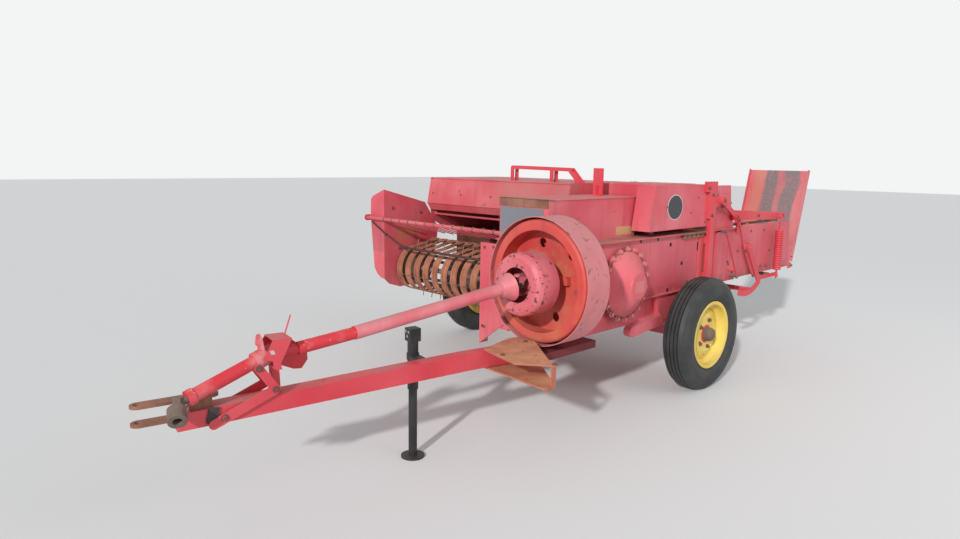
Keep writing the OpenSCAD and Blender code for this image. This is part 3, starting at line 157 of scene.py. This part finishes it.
class Finish:
    """A material being made: its tree, its masks and its colour so far."""

    def __init__(self, name, deep, faded, rust=(0.15, 0.055, 0.03), rust_start=0.60, patch=2.5, rough=0.5,
                 dust=(0.42, 0.24, 0.20), dust_share=0.55, streak=(0.30, 0.07, 0.075), streak_share=0.5,
                 metallic=0.0, bump=0.12):
        self.material = bpy.data.materials.new(name)
        self.material.use_nodes = True
        tree = self.tree = self.material.node_tree
        self.shader = tree.nodes["Principled BSDF"]
        self.shader.inputs["Metallic"].default_value = metallic
        self.masks = tree.nodes.new("ShaderNodeGroup")
        self.masks.node_tree = WEATHER
        self.masks.inputs["Patch Scale"].default_value = patch
        self.masks.inputs["Rust Start"].default_value = rust_start
        self.place = tree.nodes.new("ShaderNodeTexCoord").outputs["Object"]
        out = self.masks.outputs
        self.colour = mixed(tree, out["Fade"], deep, faded)
        self.paint(self.times(out["Streak"], streak_share), streak)
        self.paint(self.times(out["Dust"], dust_share), dust)
        self.paint(out["Rust"], rust)
        dull = calc(tree, "ADD", out["Rust"], self.times(out["Dust"], 0.6))
        roughness = ramp(tree, dull, 0, 1, rough, 0.88)
        tree.links.new(roughness, self.shader.inputs["Roughness"])
        height = tree.nodes.new("ShaderNodeBump")
        height.inputs["Strength"].default_value = bump
        height.inputs["Distance"].default_value = 0.002
        tree.links.new(calc(tree, "ADD", out["Grain"], out["Rust"]), height.inputs["Height"])
        tree.links.new(height.outputs["Normal"], self.shader.inputs["Normal"])

    def paint(self, mask, colour):
        self.colour = mixed(self.tree, mask, self.colour, colour)

    def axis(self, name):
        split = self.tree.nodes.new("ShaderNodeSeparateXYZ")
        self.tree.links.new(self.place, split.inputs[0])
        return split.outputs[name]

    def patch(self, scale, low, high, detail=6.0):
        return ramp(self.tree, noise(self.tree, self.place, scale, detail, 0.62), low, high)

    def within(self, edge, **limits):
        """A mask of the places between limits in millimetres, as in x=(low, high), with a soft edge."""
        mask = 1.0
        for name, (low, high) in limits.items():
            shift = SHIFT["xyz".index(name)]
            value, low, high, soft = self.axis(name.upper()), low / 1000 + shift, high / 1000 + shift, edge / 1000
            mask = calc(self.tree, "MULTIPLY", mask, ramp(self.tree, value, low - soft, low + soft))
            mask = calc(self.tree, "MULTIPLY", mask, ramp(self.tree, value, high - soft, high + soft, 1.0, 0.0))
        return mask

    def times(self, first, second):
        return calc(self.tree, "MULTIPLY", first, second)

    def done(self):
        self.tree.links.new(self.colour, self.shader.inputs["Base Color"])
        return self.material


def plain(name, colour, rough=0.5, metallic=0.0):
    m = bpy.data.materials.new(name)
    m.use_nodes = True
    shader = m.node_tree.nodes["Principled BSDF"]
    shader.inputs["Base Color"].default_value = (*colour, 1)
    shader.inputs["Roughness"].default_value = rough
    shader.inputs["Metallic"].default_value = metallic
    return m


# Finishes

PALE_PINK = (0.68, 0.155, 0.18)
RED = (0.62, 0.035, 0.055)
ORANGE_RUST = (0.42, 0.135, 0.05)

faded = Finish("faded_red_enamel", (0.60, 0.065, 0.09), PALE_PINK, rust_start=0.625)
faded_red = faded.done()

side = Finish("side_sheet_enamel", (0.56, 0.075, 0.10), (0.64, 0.13, 0.155), rust_start=0.63, streak_share=0.6)
lower_edge = ramp(side.tree, side.axis("Z"), 0.66, 0.59)
side.paint(side.times(lower_edge, side.patch(9, 0.44, 0.6)), (0.17, 0.07, 0.045))
side.paint(side.times(side.within(14, y=(196, 322), z=(600, 950)), side.patch(5, 0.30, 0.55)), (0.66, 0.07, 0.065))
fine = ramp(side.tree, noise(side.tree, stretched(side.tree, side.place, (60, 60, 2.2)), 1.0, 3, 0.6), 0.60, 0.66)
side.paint(side.times(side.within(14, y=(150, 340), z=(600, 950)), fine), (0.74, 0.36, 0.26))
side_sheet = side.done()

lift = Finish("pickup_enamel", (0.60, 0.065, 0.09), PALE_PINK, rust_start=0.63)
rust_spot = lift.within(40, x=(-1700, -1640), y=(-790, -560), z=(780, 890))
lift.paint(lift.times(rust_spot, lift.patch(12, 0.36, 0.52)), (0.46, 0.17, 0.07))
lift.paint(lift.times(lift.within(60, x=(-1700, -1640), y=(-950, -380), z=(380, 520)), lift.patch(16, 0.44, 0.58)),
           (0.34, 0.13, 0.07))
# Two near-black marks: the crop bar, which is dark in itself, and the front flange ahead of y -898, where the
# near-black is painted shadow.
for spot in (lift.within(0.5, x=(-1652, -413), y=(-960, -819), z=(728, 860)),
             lift.within(0.5, x=(-1840, -413), y=(-960, -898.3), z=(700, 921))):
    lift.paint(spot, (0.055, 0.018, 0.02))
pickup_enamel = lift.done()

guard = Finish("shaft_guard_enamel", (0.64, 0.115, 0.14), (0.72, 0.22, 0.245), rust_start=0.65, patch=5,
               streak_share=0.2)
front_length = guard.within(1, y=(TONGUE_FRONT_Y, GUARD_JOIN_Y))
guard.paint(front_length, (0.63, 0.03, 0.045))
guard.paint(guard.times(front_length, guard.patch(9, 0.50, 0.66)), (0.70, 0.11, 0.12))
guard.paint(guard.times(guard.within(25, y=(-2740, -2660)), guard.patch(14, 0.38, 0.56)), (0.70, 0.24, 0.25))
guard.paint(guard.times(front_length, guard.patch(40, 0.64, 0.66, 4)), (0.55, 0.30, 0.15))
guard_enamel = guard.done()

bright_red = Finish("bright_red_enamel", RED, (0.68, 0.075, 0.095), rust_start=0.615, streak_share=0.25).done()

worn = Finish("worn_band_enamel", (0.56, 0.17, 0.18), (0.66, 0.20, 0.215), rust_start=0.66, patch=5,
              streak=(0.40, 0.17, 0.17), dust=(0.46, 0.27, 0.25))
worn.paint(worn.patch(31, 0.60, 0.64, 9), (0.30, 0.11, 0.10))
worn_band = worn.done()

wheel = Finish("flywheel_enamel", (0.58, 0.05, 0.045), (0.64, 0.10, 0.08), rust_start=0.64, patch=4)
low_part = ramp(wheel.tree, wheel.axis("Z"), 0.86, 0.52)
wheel.paint(wheel.times(low_part, wheel.patch(11, 0.40, 0.66)), (0.58, 0.16, 0.085))
inner = ramp(wheel.tree, wheel.axis("Y"), *WEB_BAND)
wheel.paint(wheel.times(inner, wheel.patch(7, 0.50, 0.68)), (0.55, 0.20, 0.10))
flywheel_enamel = wheel.done()

drum = Finish("drum_enamel", (0.64, 0.12, 0.145), (0.72, 0.19, 0.215), rust_start=0.67, patch=6)
scuffs = ramp(drum.tree, drum.axis("Y"), *DRUM_FACE_BAND)
drum.paint(drum.times(scuffs, drum.patch(46, 0.59, 0.61, 3)), (0.14, 0.06, 0.05))
drum.paint(drum.patch(13, 0.645, 0.655, 5), (0.10, 0.06, 0.06))
drum_enamel = drum.done()

gear = Finish("gear_cover_enamel", (0.66, 0.09, 0.115), (0.72, 0.16, 0.18), rust_start=0.65, patch=3)
gear_foot = ramp(gear.tree, gear.axis("Z"), 0.60, 0.50)
gear.paint(gear.times(gear_foot, gear.patch(24, 0.42, 0.58)), (0.20, 0.085, 0.05))
# Dark patches on the flange face: rust, and partly painted shade for the shadows round the bolt heads.
flange = gear.within(1, x=(240, 253.5))
gear.paint(gear.times(flange, gear.patch(18, 0.40, 0.55)), (0.26, 0.07, 0.065))
gear_enamel = gear.done()
# The pale bolt heads are a painted highlight.
bolt_highlight = plain("bolt_highlight_enamel", (0.62, 0.20, 0.20), 0.45)

box_top = Finish("hood_enamel", (0.56, 0.07, 0.09), (0.64, 0.14, 0.155), rust_start=0.60, patch=3,
                 dust=(0.34, 0.22, 0.18), dust_share=0.85)
grime = box_top.within(120, x=(-860, 0), y=(-620, -548), z=(1040, 1300))
box_top.paint(box_top.times(grime, box_top.patch(4, 0.20, 0.50)), (0.36, 0.19, 0.155))
hood_enamel = box_top.done()

rust_iron = Finish("rusty_iron", (0.19, 0.075, 0.05), (0.33, 0.15, 0.10), rust=ORANGE_RUST, rust_start=0.57,
                   patch=8, rough=0.85, dust=(0.45, 0.24, 0.15), streak=(0.12, 0.05, 0.04), bump=0.35)
rusty_iron = rust_iron.done()

stripper = Finish("stripper_rust", (0.30, 0.10, 0.055), (0.47, 0.19, 0.105), rust=(0.17, 0.07, 0.045),
                  rust_start=0.585, patch=9, rough=0.8, dust=(0.55, 0.30, 0.20), dust_share=0.5,
                  streak=(0.16, 0.06, 0.04), bump=0.25)
stripper_rust = stripper.done()

carrier = Finish("pivot_plate_rust_and_painted_shade", (0.42, 0.12, 0.075), (0.52, 0.20, 0.12), rust=(0.20, 0.08, 0.05),
                 rust_start=0.575, patch=6, rough=0.8, dust=(0.62, 0.33, 0.17), dust_share=0.8, bump=0.25)
# Its rear part, from y -1404 to the front plate, is painted dark maroon as painted shade under the flywheel's hoop.
carrier.paint(carrier.within(3, y=(-1404, -900)), (0.16, 0.02, 0.025))
pivot_plate = carrier.done()

dark_iron = Finish("dark_iron", (0.035, 0.03, 0.03), (0.075, 0.06, 0.055), rust=(0.12, 0.06, 0.04),
                   rust_start=0.60, patch=9, rough=0.7, dust=(0.16, 0.12, 0.10), streak=(0.03, 0.03, 0.03),
                   bump=0.3).done()
yoke_iron = Finish("yoke_iron", (0.12, 0.085, 0.07), (0.21, 0.15, 0.12), rust=(0.20, 0.09, 0.05),
                   rust_start=0.57, patch=14, rough=0.75, dust=(0.26, 0.19, 0.15), streak=(0.09, 0.06, 0.05),
                   bump=0.4).done()
worn_steel = Finish("worn_steel", (0.20, 0.15, 0.13), (0.30, 0.22, 0.19), rust=(0.22, 0.09, 0.05),
                    rust_start=0.56, patch=9, rough=0.6, dust=(0.33, 0.2, 0.15), streak=(0.12, 0.08, 0.06),
                    bump=0.3).done()

rim_paint = Finish("yellow_rim_enamel", (0.70, 0.50, 0.075), (0.80, 0.62, 0.16), rust=(0.30, 0.13, 0.05),
                   rust_start=0.66, patch=5, rough=0.45, dust=(0.5, 0.42, 0.22), streak=(0.55, 0.36, 0.08),
                   streak_share=0.35).done()

rubber = Finish("tyre_rubber", (0.018, 0.019, 0.020), (0.042, 0.043, 0.042), rust=(0.10, 0.095, 0.08),
                rust_start=0.64, patch=6, rough=0.62, dust=(0.085, 0.08, 0.07), streak=(0.05, 0.05, 0.045),
                streak_share=0.3, bump=0.2).done()
black_paint = Finish("black_enamel", (0.012, 0.012, 0.013), (0.03, 0.03, 0.03), rust=(0.10, 0.05, 0.03),
                     rust_start=0.68, patch=6, rough=0.42, dust=(0.07, 0.06, 0.05), streak=(0.02, 0.02, 0.02)).done()

chute = Finish("chute_enamel", (0.60, 0.12, 0.135), (0.64, 0.20, 0.21), rust_start=0.66, patch=4)
across = chute.axis("X")
facing = chute.tree.nodes.new("ShaderNodeSeparateXYZ")
chute.tree.links.new(chute.tree.nodes.new("ShaderNodeTexCoord").outputs["Normal"], facing.inputs[0])
inner_face = ramp(chute.tree, facing.outputs["Y"], -0.3, -0.6)
wobble = noise(chute.tree, stretched(chute.tree, chute.place, (5, 5, 1.2)), 3, 4)
across = calc(chute.tree, "SUBTRACT", across, chute.times(wobble, 0.10))


def stripe(low, high, strength):
    soft = 0.012
    rise = ramp(chute.tree, across, CHUTE_MIDDLE + low - soft, CHUTE_MIDDLE + low + soft)
    fall = ramp(chute.tree, across, CHUTE_MIDDLE + high - soft, CHUTE_MIDDLE + high + soft, 1.0, 0.0)
    both = chute.times(rise, fall)
    rear = ramp(chute.tree, chute.axis("Z"), 0.70, 0.78)
    grit = ramp(chute.tree, noise(chute.tree, chute.place, 60, 6, 0.7), 0.25, 0.5)
    mask = strength
    for part in (both, rear, grit, inner_face):
        mask = chute.times(mask, part)
    return mask


for low, high, strength, colour in (
        (-0.115, -0.005, 0.95, (0.16, 0.145, 0.145)), (0.045, 0.165, 0.95, (0.17, 0.155, 0.155)),
        (-0.005, 0.045, 0.5, (0.33, 0.13, 0.14)), (-0.20, -0.125, 0.55, (0.50, 0.20, 0.11))):
    chute.paint(stripe(low, high, strength), colour)
chute_enamel = chute.done()

bare_plate = plain("bare_plate", (0.20, 0.205, 0.235), 0.55)
bare_dark = plain("bare_dark_plate", (0.035, 0.037, 0.045), 0.45)
bare_light = plain("bare_light_rim", (0.55, 0.50, 0.50), 0.5)
hole_dark = plain("hole_shadow", (0.012, 0.009, 0.009), 0.9)
bolt_rust = plain("bolt_rust", (0.16, 0.07, 0.05), 0.75)
bolt_red = plain("bolt_enamel", (0.50, 0.12, 0.13), 0.5)
zinc = plain("zinc_screw", (0.62, 0.62, 0.62), 0.35, 0.6)
pale_label = plain("faded_label", (0.60, 0.36, 0.16), 0.6)

finish_of = {
    "left_side_plate": side_sheet, "right_side_plate": side_sheet, "chamber_floor": rusty_iron,
    "chamber_top": rusty_iron, "bale_rails": rusty_iron, "tension_arms": bright_red, "tension_springs": bright_red,
    "plunger": dark_iron, "front_plate": faded_red, "frame_beams": faded_red, "axle_beam": faded_red,
    "gearbox": dark_iron, "gear_cover": gear_enamel, "flywheel_hoop": worn_band, "flywheel": flywheel_enamel,
    "flywheel_drum": drum_enamel, "left_rim": rim_paint, "right_rim": rim_paint, "left_tyre": rubber,
    "right_tyre": rubber, "drive_box": faded_red, "twine_box": faded_red, "twine_lid": faded_red,
    "feeder_hood": hood_enamel, "feed_deck": rusty_iron, "feeder_linkage": bright_red, "packer_forks": rusty_iron,
    "pickup_frame": pickup_enamel, "pickup_strippers": stripper_rust, "pickup_reel": worn_steel,
    "windguard": faded_red, "tongue_quadrant": pivot_plate, "tongue_beam": bright_red, "hitch_straps": rusty_iron,
    "shaft_stand": bright_red, "shaft_guards": guard_enamel, "drive_joint": dark_iron, "front_yoke": yoke_iron,
    "jack_sleeve": black_paint, "jack_leg": black_paint, "knotter_stand": bright_red, "knotter_frame": faded_red,
    "knotters": worn_steel, "needle_yoke": bright_red, "measuring_bracket": faded_red,
    "measuring_wheel": worn_steel, "bale_chute": chute_enamel,
}
for name, finish in finish_of.items():
    mesh = nodes[name].data
    mesh.materials.clear()
    mesh.materials.append(finish)


# Modelling helpers

def turned(direction):
    """A turn that takes +Z to a direction."""
    return Vector(direction).normalized().to_track_quat("Z", "Y").to_matrix().to_4x4()


def add_round(bm, start, end, radius, radius_end=None, sides=16):
    line = end - start
    place = Matrix.Translation((start + end) / 2) @ turned(line)
    bmesh.ops.create_cone(bm, cap_ends=True, segments=sides, radius1=radius,
                          radius2=radius if radius_end is None else radius_end, depth=line.length, matrix=place)


def add_block(bm, low, high):
    place = Matrix.Translation((low + high) / 2) @ Matrix.Diagonal((*(high - low), 1))
    bmesh.ops.create_cube(bm, size=1, matrix=place)


def piece(name, bm, material, body, smooth=True):
    bmesh.ops.remove_doubles(bm, verts=bm.verts, dist=1e-6)
    bmesh.ops.recalc_face_normals(bm, faces=bm.faces)
    mesh = bpy.data.meshes.new(name)
    bm.to_mesh(mesh)
    bm.free()
    if smooth:
        mesh.polygons.foreach_set("use_smooth", [True] * len(mesh.polygons))
        mesh.set_sharp_from_angle(angle=math.radians(SHARP))
    mesh.materials.append(material)
    made = bpy.data.objects.new(name, mesh)
    bpy.context.scene.collection.objects.link(made)
    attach(made, body)
    return made


def bolts(name, body, places, axis, across=18, tall=9, material=None):
    """Hexagon heads with a washer, standing on their seats along one direction."""
    bm = bmesh.new()
    out = Vector(axis).normalized() / 1000
    for spot in places:
        add_round(bm, spot, spot + out * 2, across * 0.72 / 1000, sides=14)
        add_round(bm, spot + out * 2, spot + out * tall, across / 2 / 1000, across * 0.44 / 1000, sides=6)
    return piece(name, bm, material or bolt_red, body, smooth=False)


def blocks(name, body, boxes, material):
    """Plain blocks, each from its low corner to its high one."""
    bm = bmesh.new()
    for low, high in boxes:
        add_block(bm, at(*low), at(*high))
    return piece(name, bm, material, body, smooth=False)


def discs(name, body, places, axis, radius, thick, material, sides=24):
    bm = bmesh.new()
    out = Vector(axis).normalized() / 1000
    for spot in places:
        add_round(bm, spot, spot + out * thick, radius / 1000, sides=sides)
    return piece(name, bm, material, body, smooth=False)


def plate(name, body, corners, out, thick, material):
    """A thin flat panel from its corners, standing out from its seat."""
    bm = bmesh.new()
    verts = [bm.verts.new(c) for c in corners]
    face = bm.faces.new(verts)
    raised = bmesh.ops.extrude_face_region(bm, geom=[face])["geom"]
    bmesh.ops.translate(bm, verts=[v for v in raised if isinstance(v, bmesh.types.BMVert)],
                        vec=Vector(out).normalized() * thick / 1000)
    return piece(name, bm, material, body, smooth=False)


def ring(name, body, centre, axis, profile, material, sides=48):
    """A profile of (distance out along the axis, radius) in millimetres, spun round the axis."""
    bm = bmesh.new()
    verts = [bm.verts.new((radius / 1000, 0, out / 1000)) for out, radius in profile]
    edges = [bm.edges.new((verts[i], verts[i + 1])) for i in range(len(verts) - 1)]
    bmesh.ops.spin(bm, geom=verts + edges, cent=(0, 0, 0), axis=(0, 0, 1), angle=math.tau, steps=sides,
                   use_merge=True, use_duplicate=False)
    bmesh.ops.transform(bm, matrix=Matrix.Translation(centre) @ turned(axis), verts=bm.verts)
    return piece(name, bm, material, body)


LEFT, FRONT, UP = (1, 0, 0), (0, -1, 0), (0, 0, 1)

# Gear housing cover: bolts round its flange, painted pale as a highlight, and the flat disc on its end
gear_bolts = [at(251.5, GEAR[0] + 199 * math.cos(a), GEAR[1] + 199 * math.sin(a))
              for a in [math.tau * (k + 0.5) / 18 for k in range(18)]]
bolts("gear_cover_bolts", "baler", gear_bolts, LEFT, across=23, tall=16, material=bolt_highlight)
discs("gear_cover_disc", "baler", [at(343.2, *GEAR)], LEFT, 68, 2.2, plain("disc_enamel", (0.60, 0.115, 0.13), 0.55),
      sides=48)
plate("gear_cover_blank_plate", "baler", [at(345.2, GEAR[0] + y, GEAR[1] + z) for y, z in
      ((-42, -34), (42, -34), (42, 30), (-42, 30))], LEFT, 1.0, plain("blank_plate_enamel", (0.62, 0.17, 0.175), 0.6))

# Drive box: blank panel on the front, rusty cap over its front top edge, blank label on its side
plate("drive_box_front_panel", "baler", [at(x, PLATE_Y, z) for x, z in
      ((-214, 952), (92, 952), (92, 1131), (-214, 1131))], FRONT, 1.5, bare_plate)
blocks("drive_box_rusty_cap", "baler", (
    ((-221, PLATE_Y - 3, 1136), (126, PLATE_Y, 1179)), ((-221, PLATE_Y - 3, 1177), (126, PLATE_Y + 52, 1179.5))),
    rusty_iron)
plate("drive_box_side_label", "baler", [at(125, y, z) for y, z in
      ((-574, 964), (-420, 962), (-420, 1008), (-574, 1011))], LEFT, 0.8, pale_label)
for k, (z, rear) in enumerate(((949, -420), (1174, -330))):
    blocks(f"drive_box_edge_{k}", "baler", [((124.5, -1168, z), (129, rear, z + 3))], hood_enamel)

# Front plate: bolts and the blank patch under the flywheel's band
bolts("front_plate_bolts", "baler", [at(x, PLATE_Y, z) for x, z in
      ((-336, 892), (-264, 899), (-242, 861), (-344, 439), (-329, 437), (-345, 640), (255, 500), (262, 880))],
      FRONT, across=13, tall=5, material=bolt_rust)
plate("front_plate_blank_patch", "baler", [at(x, PLATE_Y, z) for x, z in
      ((-180, 484), (-62, 476), (-62, 520), (-180, 522))], FRONT, 1.0, bare_plate)

# Twine box: blank oval with a light rim, a few fastenings, and the rusty bracket under it
for name, radius_y, radius_z, lift, material, slot in (
        ("twine_box_oval_rim", 76, 86, 0.8, bare_light, "faded_red"),
        ("twine_box_blank_oval", 70, 80, 1.6, bare_dark, "black_paint")):
    bm = bmesh.new()
    place = Matrix.Translation(at(258 + lift / 2, -170, 1116)) @ turned(LEFT)
    bmesh.ops.create_cone(bm, cap_ends=True, segments=56, radius1=1, radius2=1, depth=lift / 1000)
    bmesh.ops.scale(bm, vec=(radius_z / 1000, radius_y / 1000, 1), verts=bm.verts)
    bmesh.ops.transform(bm, matrix=place, verts=bm.verts)
    piece(name, bm, material, "baler", smooth=False)
bolts("twine_box_fastenings", "baler", [at(258, y, z) for y, z in
      ((102, 1166), (18, 1076), (-262, 1120), (196, 1010), (196, 1210))], LEFT, across=9, tall=3, material=bolt_rust)
blocks("twine_box_rusty_bracket", "baler", [((HALF_W, -50, 940), (HALF_W + 26, 236, 949))] + [
       ((HALF_W, y, 916), (HALF_W + 18, y + 34, 941)) for y in (-30, 20, 74, 128, 180)], rusty_iron)
blocks("twine_box_lower_edge", "baler", [((256.5, -434, 983), (261, 221, 986))], hood_enamel)

# Left side plate: round holes, a slot, seams and the bolts along the rear half
discs("side_plate_holes", "baler", [at(HALF_W, y, z) for y, z in ((-14, 763), (-156, 889), (-163, 611))],
      LEFT, 13, 0.7, hole_dark)
discs("side_plate_hole_rims", "baler", [at(HALF_W, y, z) for y, z in ((-14, 763), (-156, 889))],
      LEFT, 18, 0.4, side_sheet)
plate("side_plate_slot", "baler", [at(HALF_W, y, z) for y, z in
      ((164, 828), (178, 828), (178, 884), (164, 884))], LEFT, 0.8, hole_dark)
bolts("side_plate_bolts", "baler", [at(HALF_W, y, z) for y, z in
      ((1135, 903), (922, 908), (1116, 638), (1202, 633), (608, 700), (875, 818), (734, 780), (1249, 746),
       (673, 639), (595, 716), (-480, 930), (-300, 930), (60, 640), (-900, 930), (-1040, 640), (-1040, 900))],
      LEFT, across=13, tall=6, material=bolt_rust)
for k, y in enumerate((-92, 186)):
    blocks(f"side_plate_seam_{k}", "baler", [((HALF_W, y, 600), (HALF_W + 2.5, y + 5, 944))], side_sheet)

def around(x, radius, count, half_step=0.0):
    """Places on a circle round the axle's line."""
    turns = [math.tau * (k + half_step) / count for k in range(count)]
    return [at(x, radius * math.cos(a), AXLE_Z + radius * math.sin(a)) for a in turns]


# Wheels: red hub ring, dark hub sleeve with its cap, wheel nuts, and rings moulded in the tyre walls
for wheel_name, x, out in (("left", 389, 1), ("right", -1600, -1)):
    body = f"{wheel_name}_wheel"
    axis = (out, 0, 0)
    ring(f"{wheel_name}_hub_ring", body, at(x + out * 22.2, 0, AXLE_Z), axis,
         [(0, 40), (0, 66), (5, 64), (8, 54), (10, 40)], bright_red)
    ring(f"{wheel_name}_hub_sleeve", body, at(x + out * 22.2, 0, AXLE_Z), axis,
         [(0, 34.4), (0, 41), (8, 43), (40, 41), (46, 38), (52, 34), (57, 22), (58, 0.2)], yoke_iron)
    bolts(f"{wheel_name}_wheel_nuts", body, around(x + out * 30, 88, 5), axis, across=22, tall=14,
          material=bolt_rust)
    discs(f"{wheel_name}_rim_holes", body, around(x + out * 22, 128, 6, 0.5), axis, 8, 3, hole_dark)
    for side_sign, wall in ((1, "outer"), (-1, "inner")):
        turn_out = out * side_sign
        ring(f"{wheel_name}_tyre_{wall}_bead", body, at(x + turn_out * 66, 0, AXLE_Z), (turn_out, 0, 0),
             [(-4, 213), (1, 214), (4, 217), (4, 221), (1, 224), (-2, 226)], rubber, sides=64)

# Jack: screws in the head
bolts("jack_head_screws", "tongue", [on_tongue(-110 + x, -534, z) for x, z in ((-14, 602), (10, 602), (-2, 580))],
      (math.sin(SWING), -math.cos(SWING), 0), across=9, tall=3, material=zinc)

# Windguard: small clips where each rod meets the bar
clips = bmesh.new()
for k in range(14):
    x = -1620 + (1620 - 415) * k / 13
    add_round(clips, at(x, -925, 958), at(x, -925, 963), 0.006, sides=6)
    add_round(clips, at(x - 7, -925, 945), at(x + 7, -925, 945), 0.0135, sides=16)
piece("windguard_clips", clips, rusty_iron, "windguard")

# Hood: rolled lips and the fastenings along its front
bm = bmesh.new()
add_round(bm, at(-1549, -550, 1240), at(-238, -550, 1240), 0.006)
add_round(bm, at(-1549, -584, 1061), at(-238, -584, 1061), 0.005)
piece("hood_lips", bm, hood_enamel, "baler")
bolts("hood_bolts", "baler", [at(x, -571, 1130) for x in (-1500, -1200, -900, -600, -300)], FRONT, across=11, tall=4,
      material=bolt_rust)

# Tongue: bolts of the links, a near-black plate on its nose's near side that is painted shade, and the shield's blank
# patch
toward = (math.cos(SWING), math.sin(SWING), 0)
bolts("tongue_bolts", "tongue", [on_tongue(57, y, z) for y, z in ((-1385, 422), (-1193, 497), (-1254, 587))],
      toward, across=19, tall=9, material=bolt_rust)
# The near-black plate stands for the shade on the near side of the tongue's nose.
plate("tongue_nose_shade_plate", "tongue", [on_tongue(45.4, y, z) for y, z in
      ((-1398, 462), (-1436, 470), (-1450, 412), (-1420, 398))], toward, 5, dark_iron)
plate("shield_blank_patch", "tongue", [on_tongue(54, y, z) for y, z in
      ((-1206, 634), (-1190, 634), (-1196, 650), (-1212, 650))], toward, 0.8, bare_light)

# Pivot plates: bolts on their upper plate
bolts("pivot_plate_bolts", "baler", [at(x, y, 510) for x, y in ((580, -1636), (330, -1700), (240, -1450))], UP,
      across=16, tall=8, material=bolt_rust)

# Knotter stand and linkage: heads on the pins
bolts("knotter_stand_bolts", "baler", [at(x, y, z) for x, y, z in
      ((306, 354, 1143), (298, 566, 1030), (280, 246, 1050), (280, 246, 1180), (280, 190, 1225), (300, 590, 1007),
       (300, 707, 791), (300, 862, 601))], LEFT, across=17, tall=9, material=bolt_rust)
bolts("tension_arm_bolts", "baler", [at(253.5, y, z) for y, z in
      ((640, 1030), (980, 1018), (1290, 1001), (1400, 1000))], LEFT, across=17, tall=8, material=bolt_rust)

bm = bmesh.new()
for y, z in ((446, 936), (646, 614)):
    add_round(bm, at(HALF_W, y, z), at(292, y, z), 0.007)
    add_round(bm, at(279, y, z), at(286, y, z), 0.013)
piece("thin_rod_eyes", bm, yoke_iron, "baler")

# Pickup: bolts on the outer end sheet and its flange
bolts("pickup_sheet_bolts", "pickup", [at(-1659.8, y, z) for y, z in
      ((-640, 575), (-760, 720), (-520, 720), (-700, 470), (-820, 1020), (-560, 980))], LEFT, across=16, tall=8,
      material=bolt_rust)
discs("reel_shaft_end", "pickup_reel", [at(-1659, -640, 575)], LEFT, 30, 9, dark_iron)

# Stage
floor_bm = bmesh.new()
bmesh.ops.create_grid(floor_bm, x_segments=1, y_segments=1, size=40)
floor_mesh = bpy.data.meshes.new("floor")
floor_bm.to_mesh(floor_mesh)
floor_bm.free()
floor = bpy.data.objects.new("floor", floor_mesh)
bpy.context.scene.collection.objects.link(floor)
floor_mesh.materials.append(plain("floor_pale", (0.80, 0.80, 0.79), 0.9))

world = bpy.data.worlds.new("studio")
bpy.context.scene.world = world
world.use_nodes = True
tree = world.node_tree
tree.nodes.clear()
sky = tree.nodes.new("ShaderNodeBackground")
sky.inputs["Color"].default_value = (0.93, 0.96, 1.0, 1)
sky.inputs["Strength"].default_value = 0.46
shown = tree.nodes.new("ShaderNodeBackground")
shown.inputs["Color"].default_value = (0.90, 0.905, 0.91, 1)
path = tree.nodes.new("ShaderNodeLightPath")
seen = calc(tree, "ADD", path.outputs["Is Camera Ray"],
            calc(tree, "ADD", path.outputs["Is Glossy Ray"], path.outputs["Is Transmission Ray"]))
choose = tree.nodes.new("ShaderNodeMixShader")
tree.links.new(seen, choose.inputs["Fac"])
tree.links.new(sky.outputs[0], choose.inputs[1])
tree.links.new(shown.outputs[0], choose.inputs[2])
out = tree.nodes.new("ShaderNodeOutputWorld")
tree.links.new(choose.outputs[0], out.inputs["Surface"])


def lamp(name, kind, energy, place, target, size):
    data = bpy.data.lights.new(name, kind)
    data.energy = energy
    if kind == "AREA":
        data.size = size
    else:
        data.angle = size
    made = bpy.data.objects.new(name, data)
    made.location = place
    made.rotation_euler = (Vector(target) - Vector(place)).to_track_quat("-Z", "Y").to_euler()
    bpy.context.scene.collection.objects.link(made)


lamp("key", "SUN", 2.5, (4.2, -10.0, 5.3), (0, 0, 0.5), math.radians(2.5))
lamp("fill", "AREA", 60, (5.5, 1.0, 3.6), (0.5, 0.4, 0.6), 4.0)

# Camera at the photograph's place
camera = bpy.data.cameras.new("photo_view")
camera.lens = 25.84
camera.sensor_width = 36
camera.sensor_fit = "HORIZONTAL"
camera.clip_end = 200
view = bpy.data.objects.new("photo_view", camera)
bpy.context.scene.collection.objects.link(view)
yaw, pitch, roll = math.radians(45.92383954), math.radians(8.99235286), math.radians(-0.93241352)
forward = Vector((-math.sin(yaw) * math.cos(pitch), math.cos(yaw) * math.cos(pitch), -math.sin(pitch)))
right = Vector((math.cos(yaw), math.sin(yaw), 0))
down = forward.cross(right)
right, down = (right * math.cos(roll) + down * math.sin(roll), down * math.cos(roll) - right * math.sin(roll))
turn = Matrix((right, -down, -forward)).transposed()
view.matrix_world = Matrix.Translation(at(2410.03, -3864.55, 1373.29)) @ turn.to_4x4()
bpy.context.scene.camera = view
bpy.context.scene.view_settings.view_transform = "Standard"

bpy.context.view_layer.update()
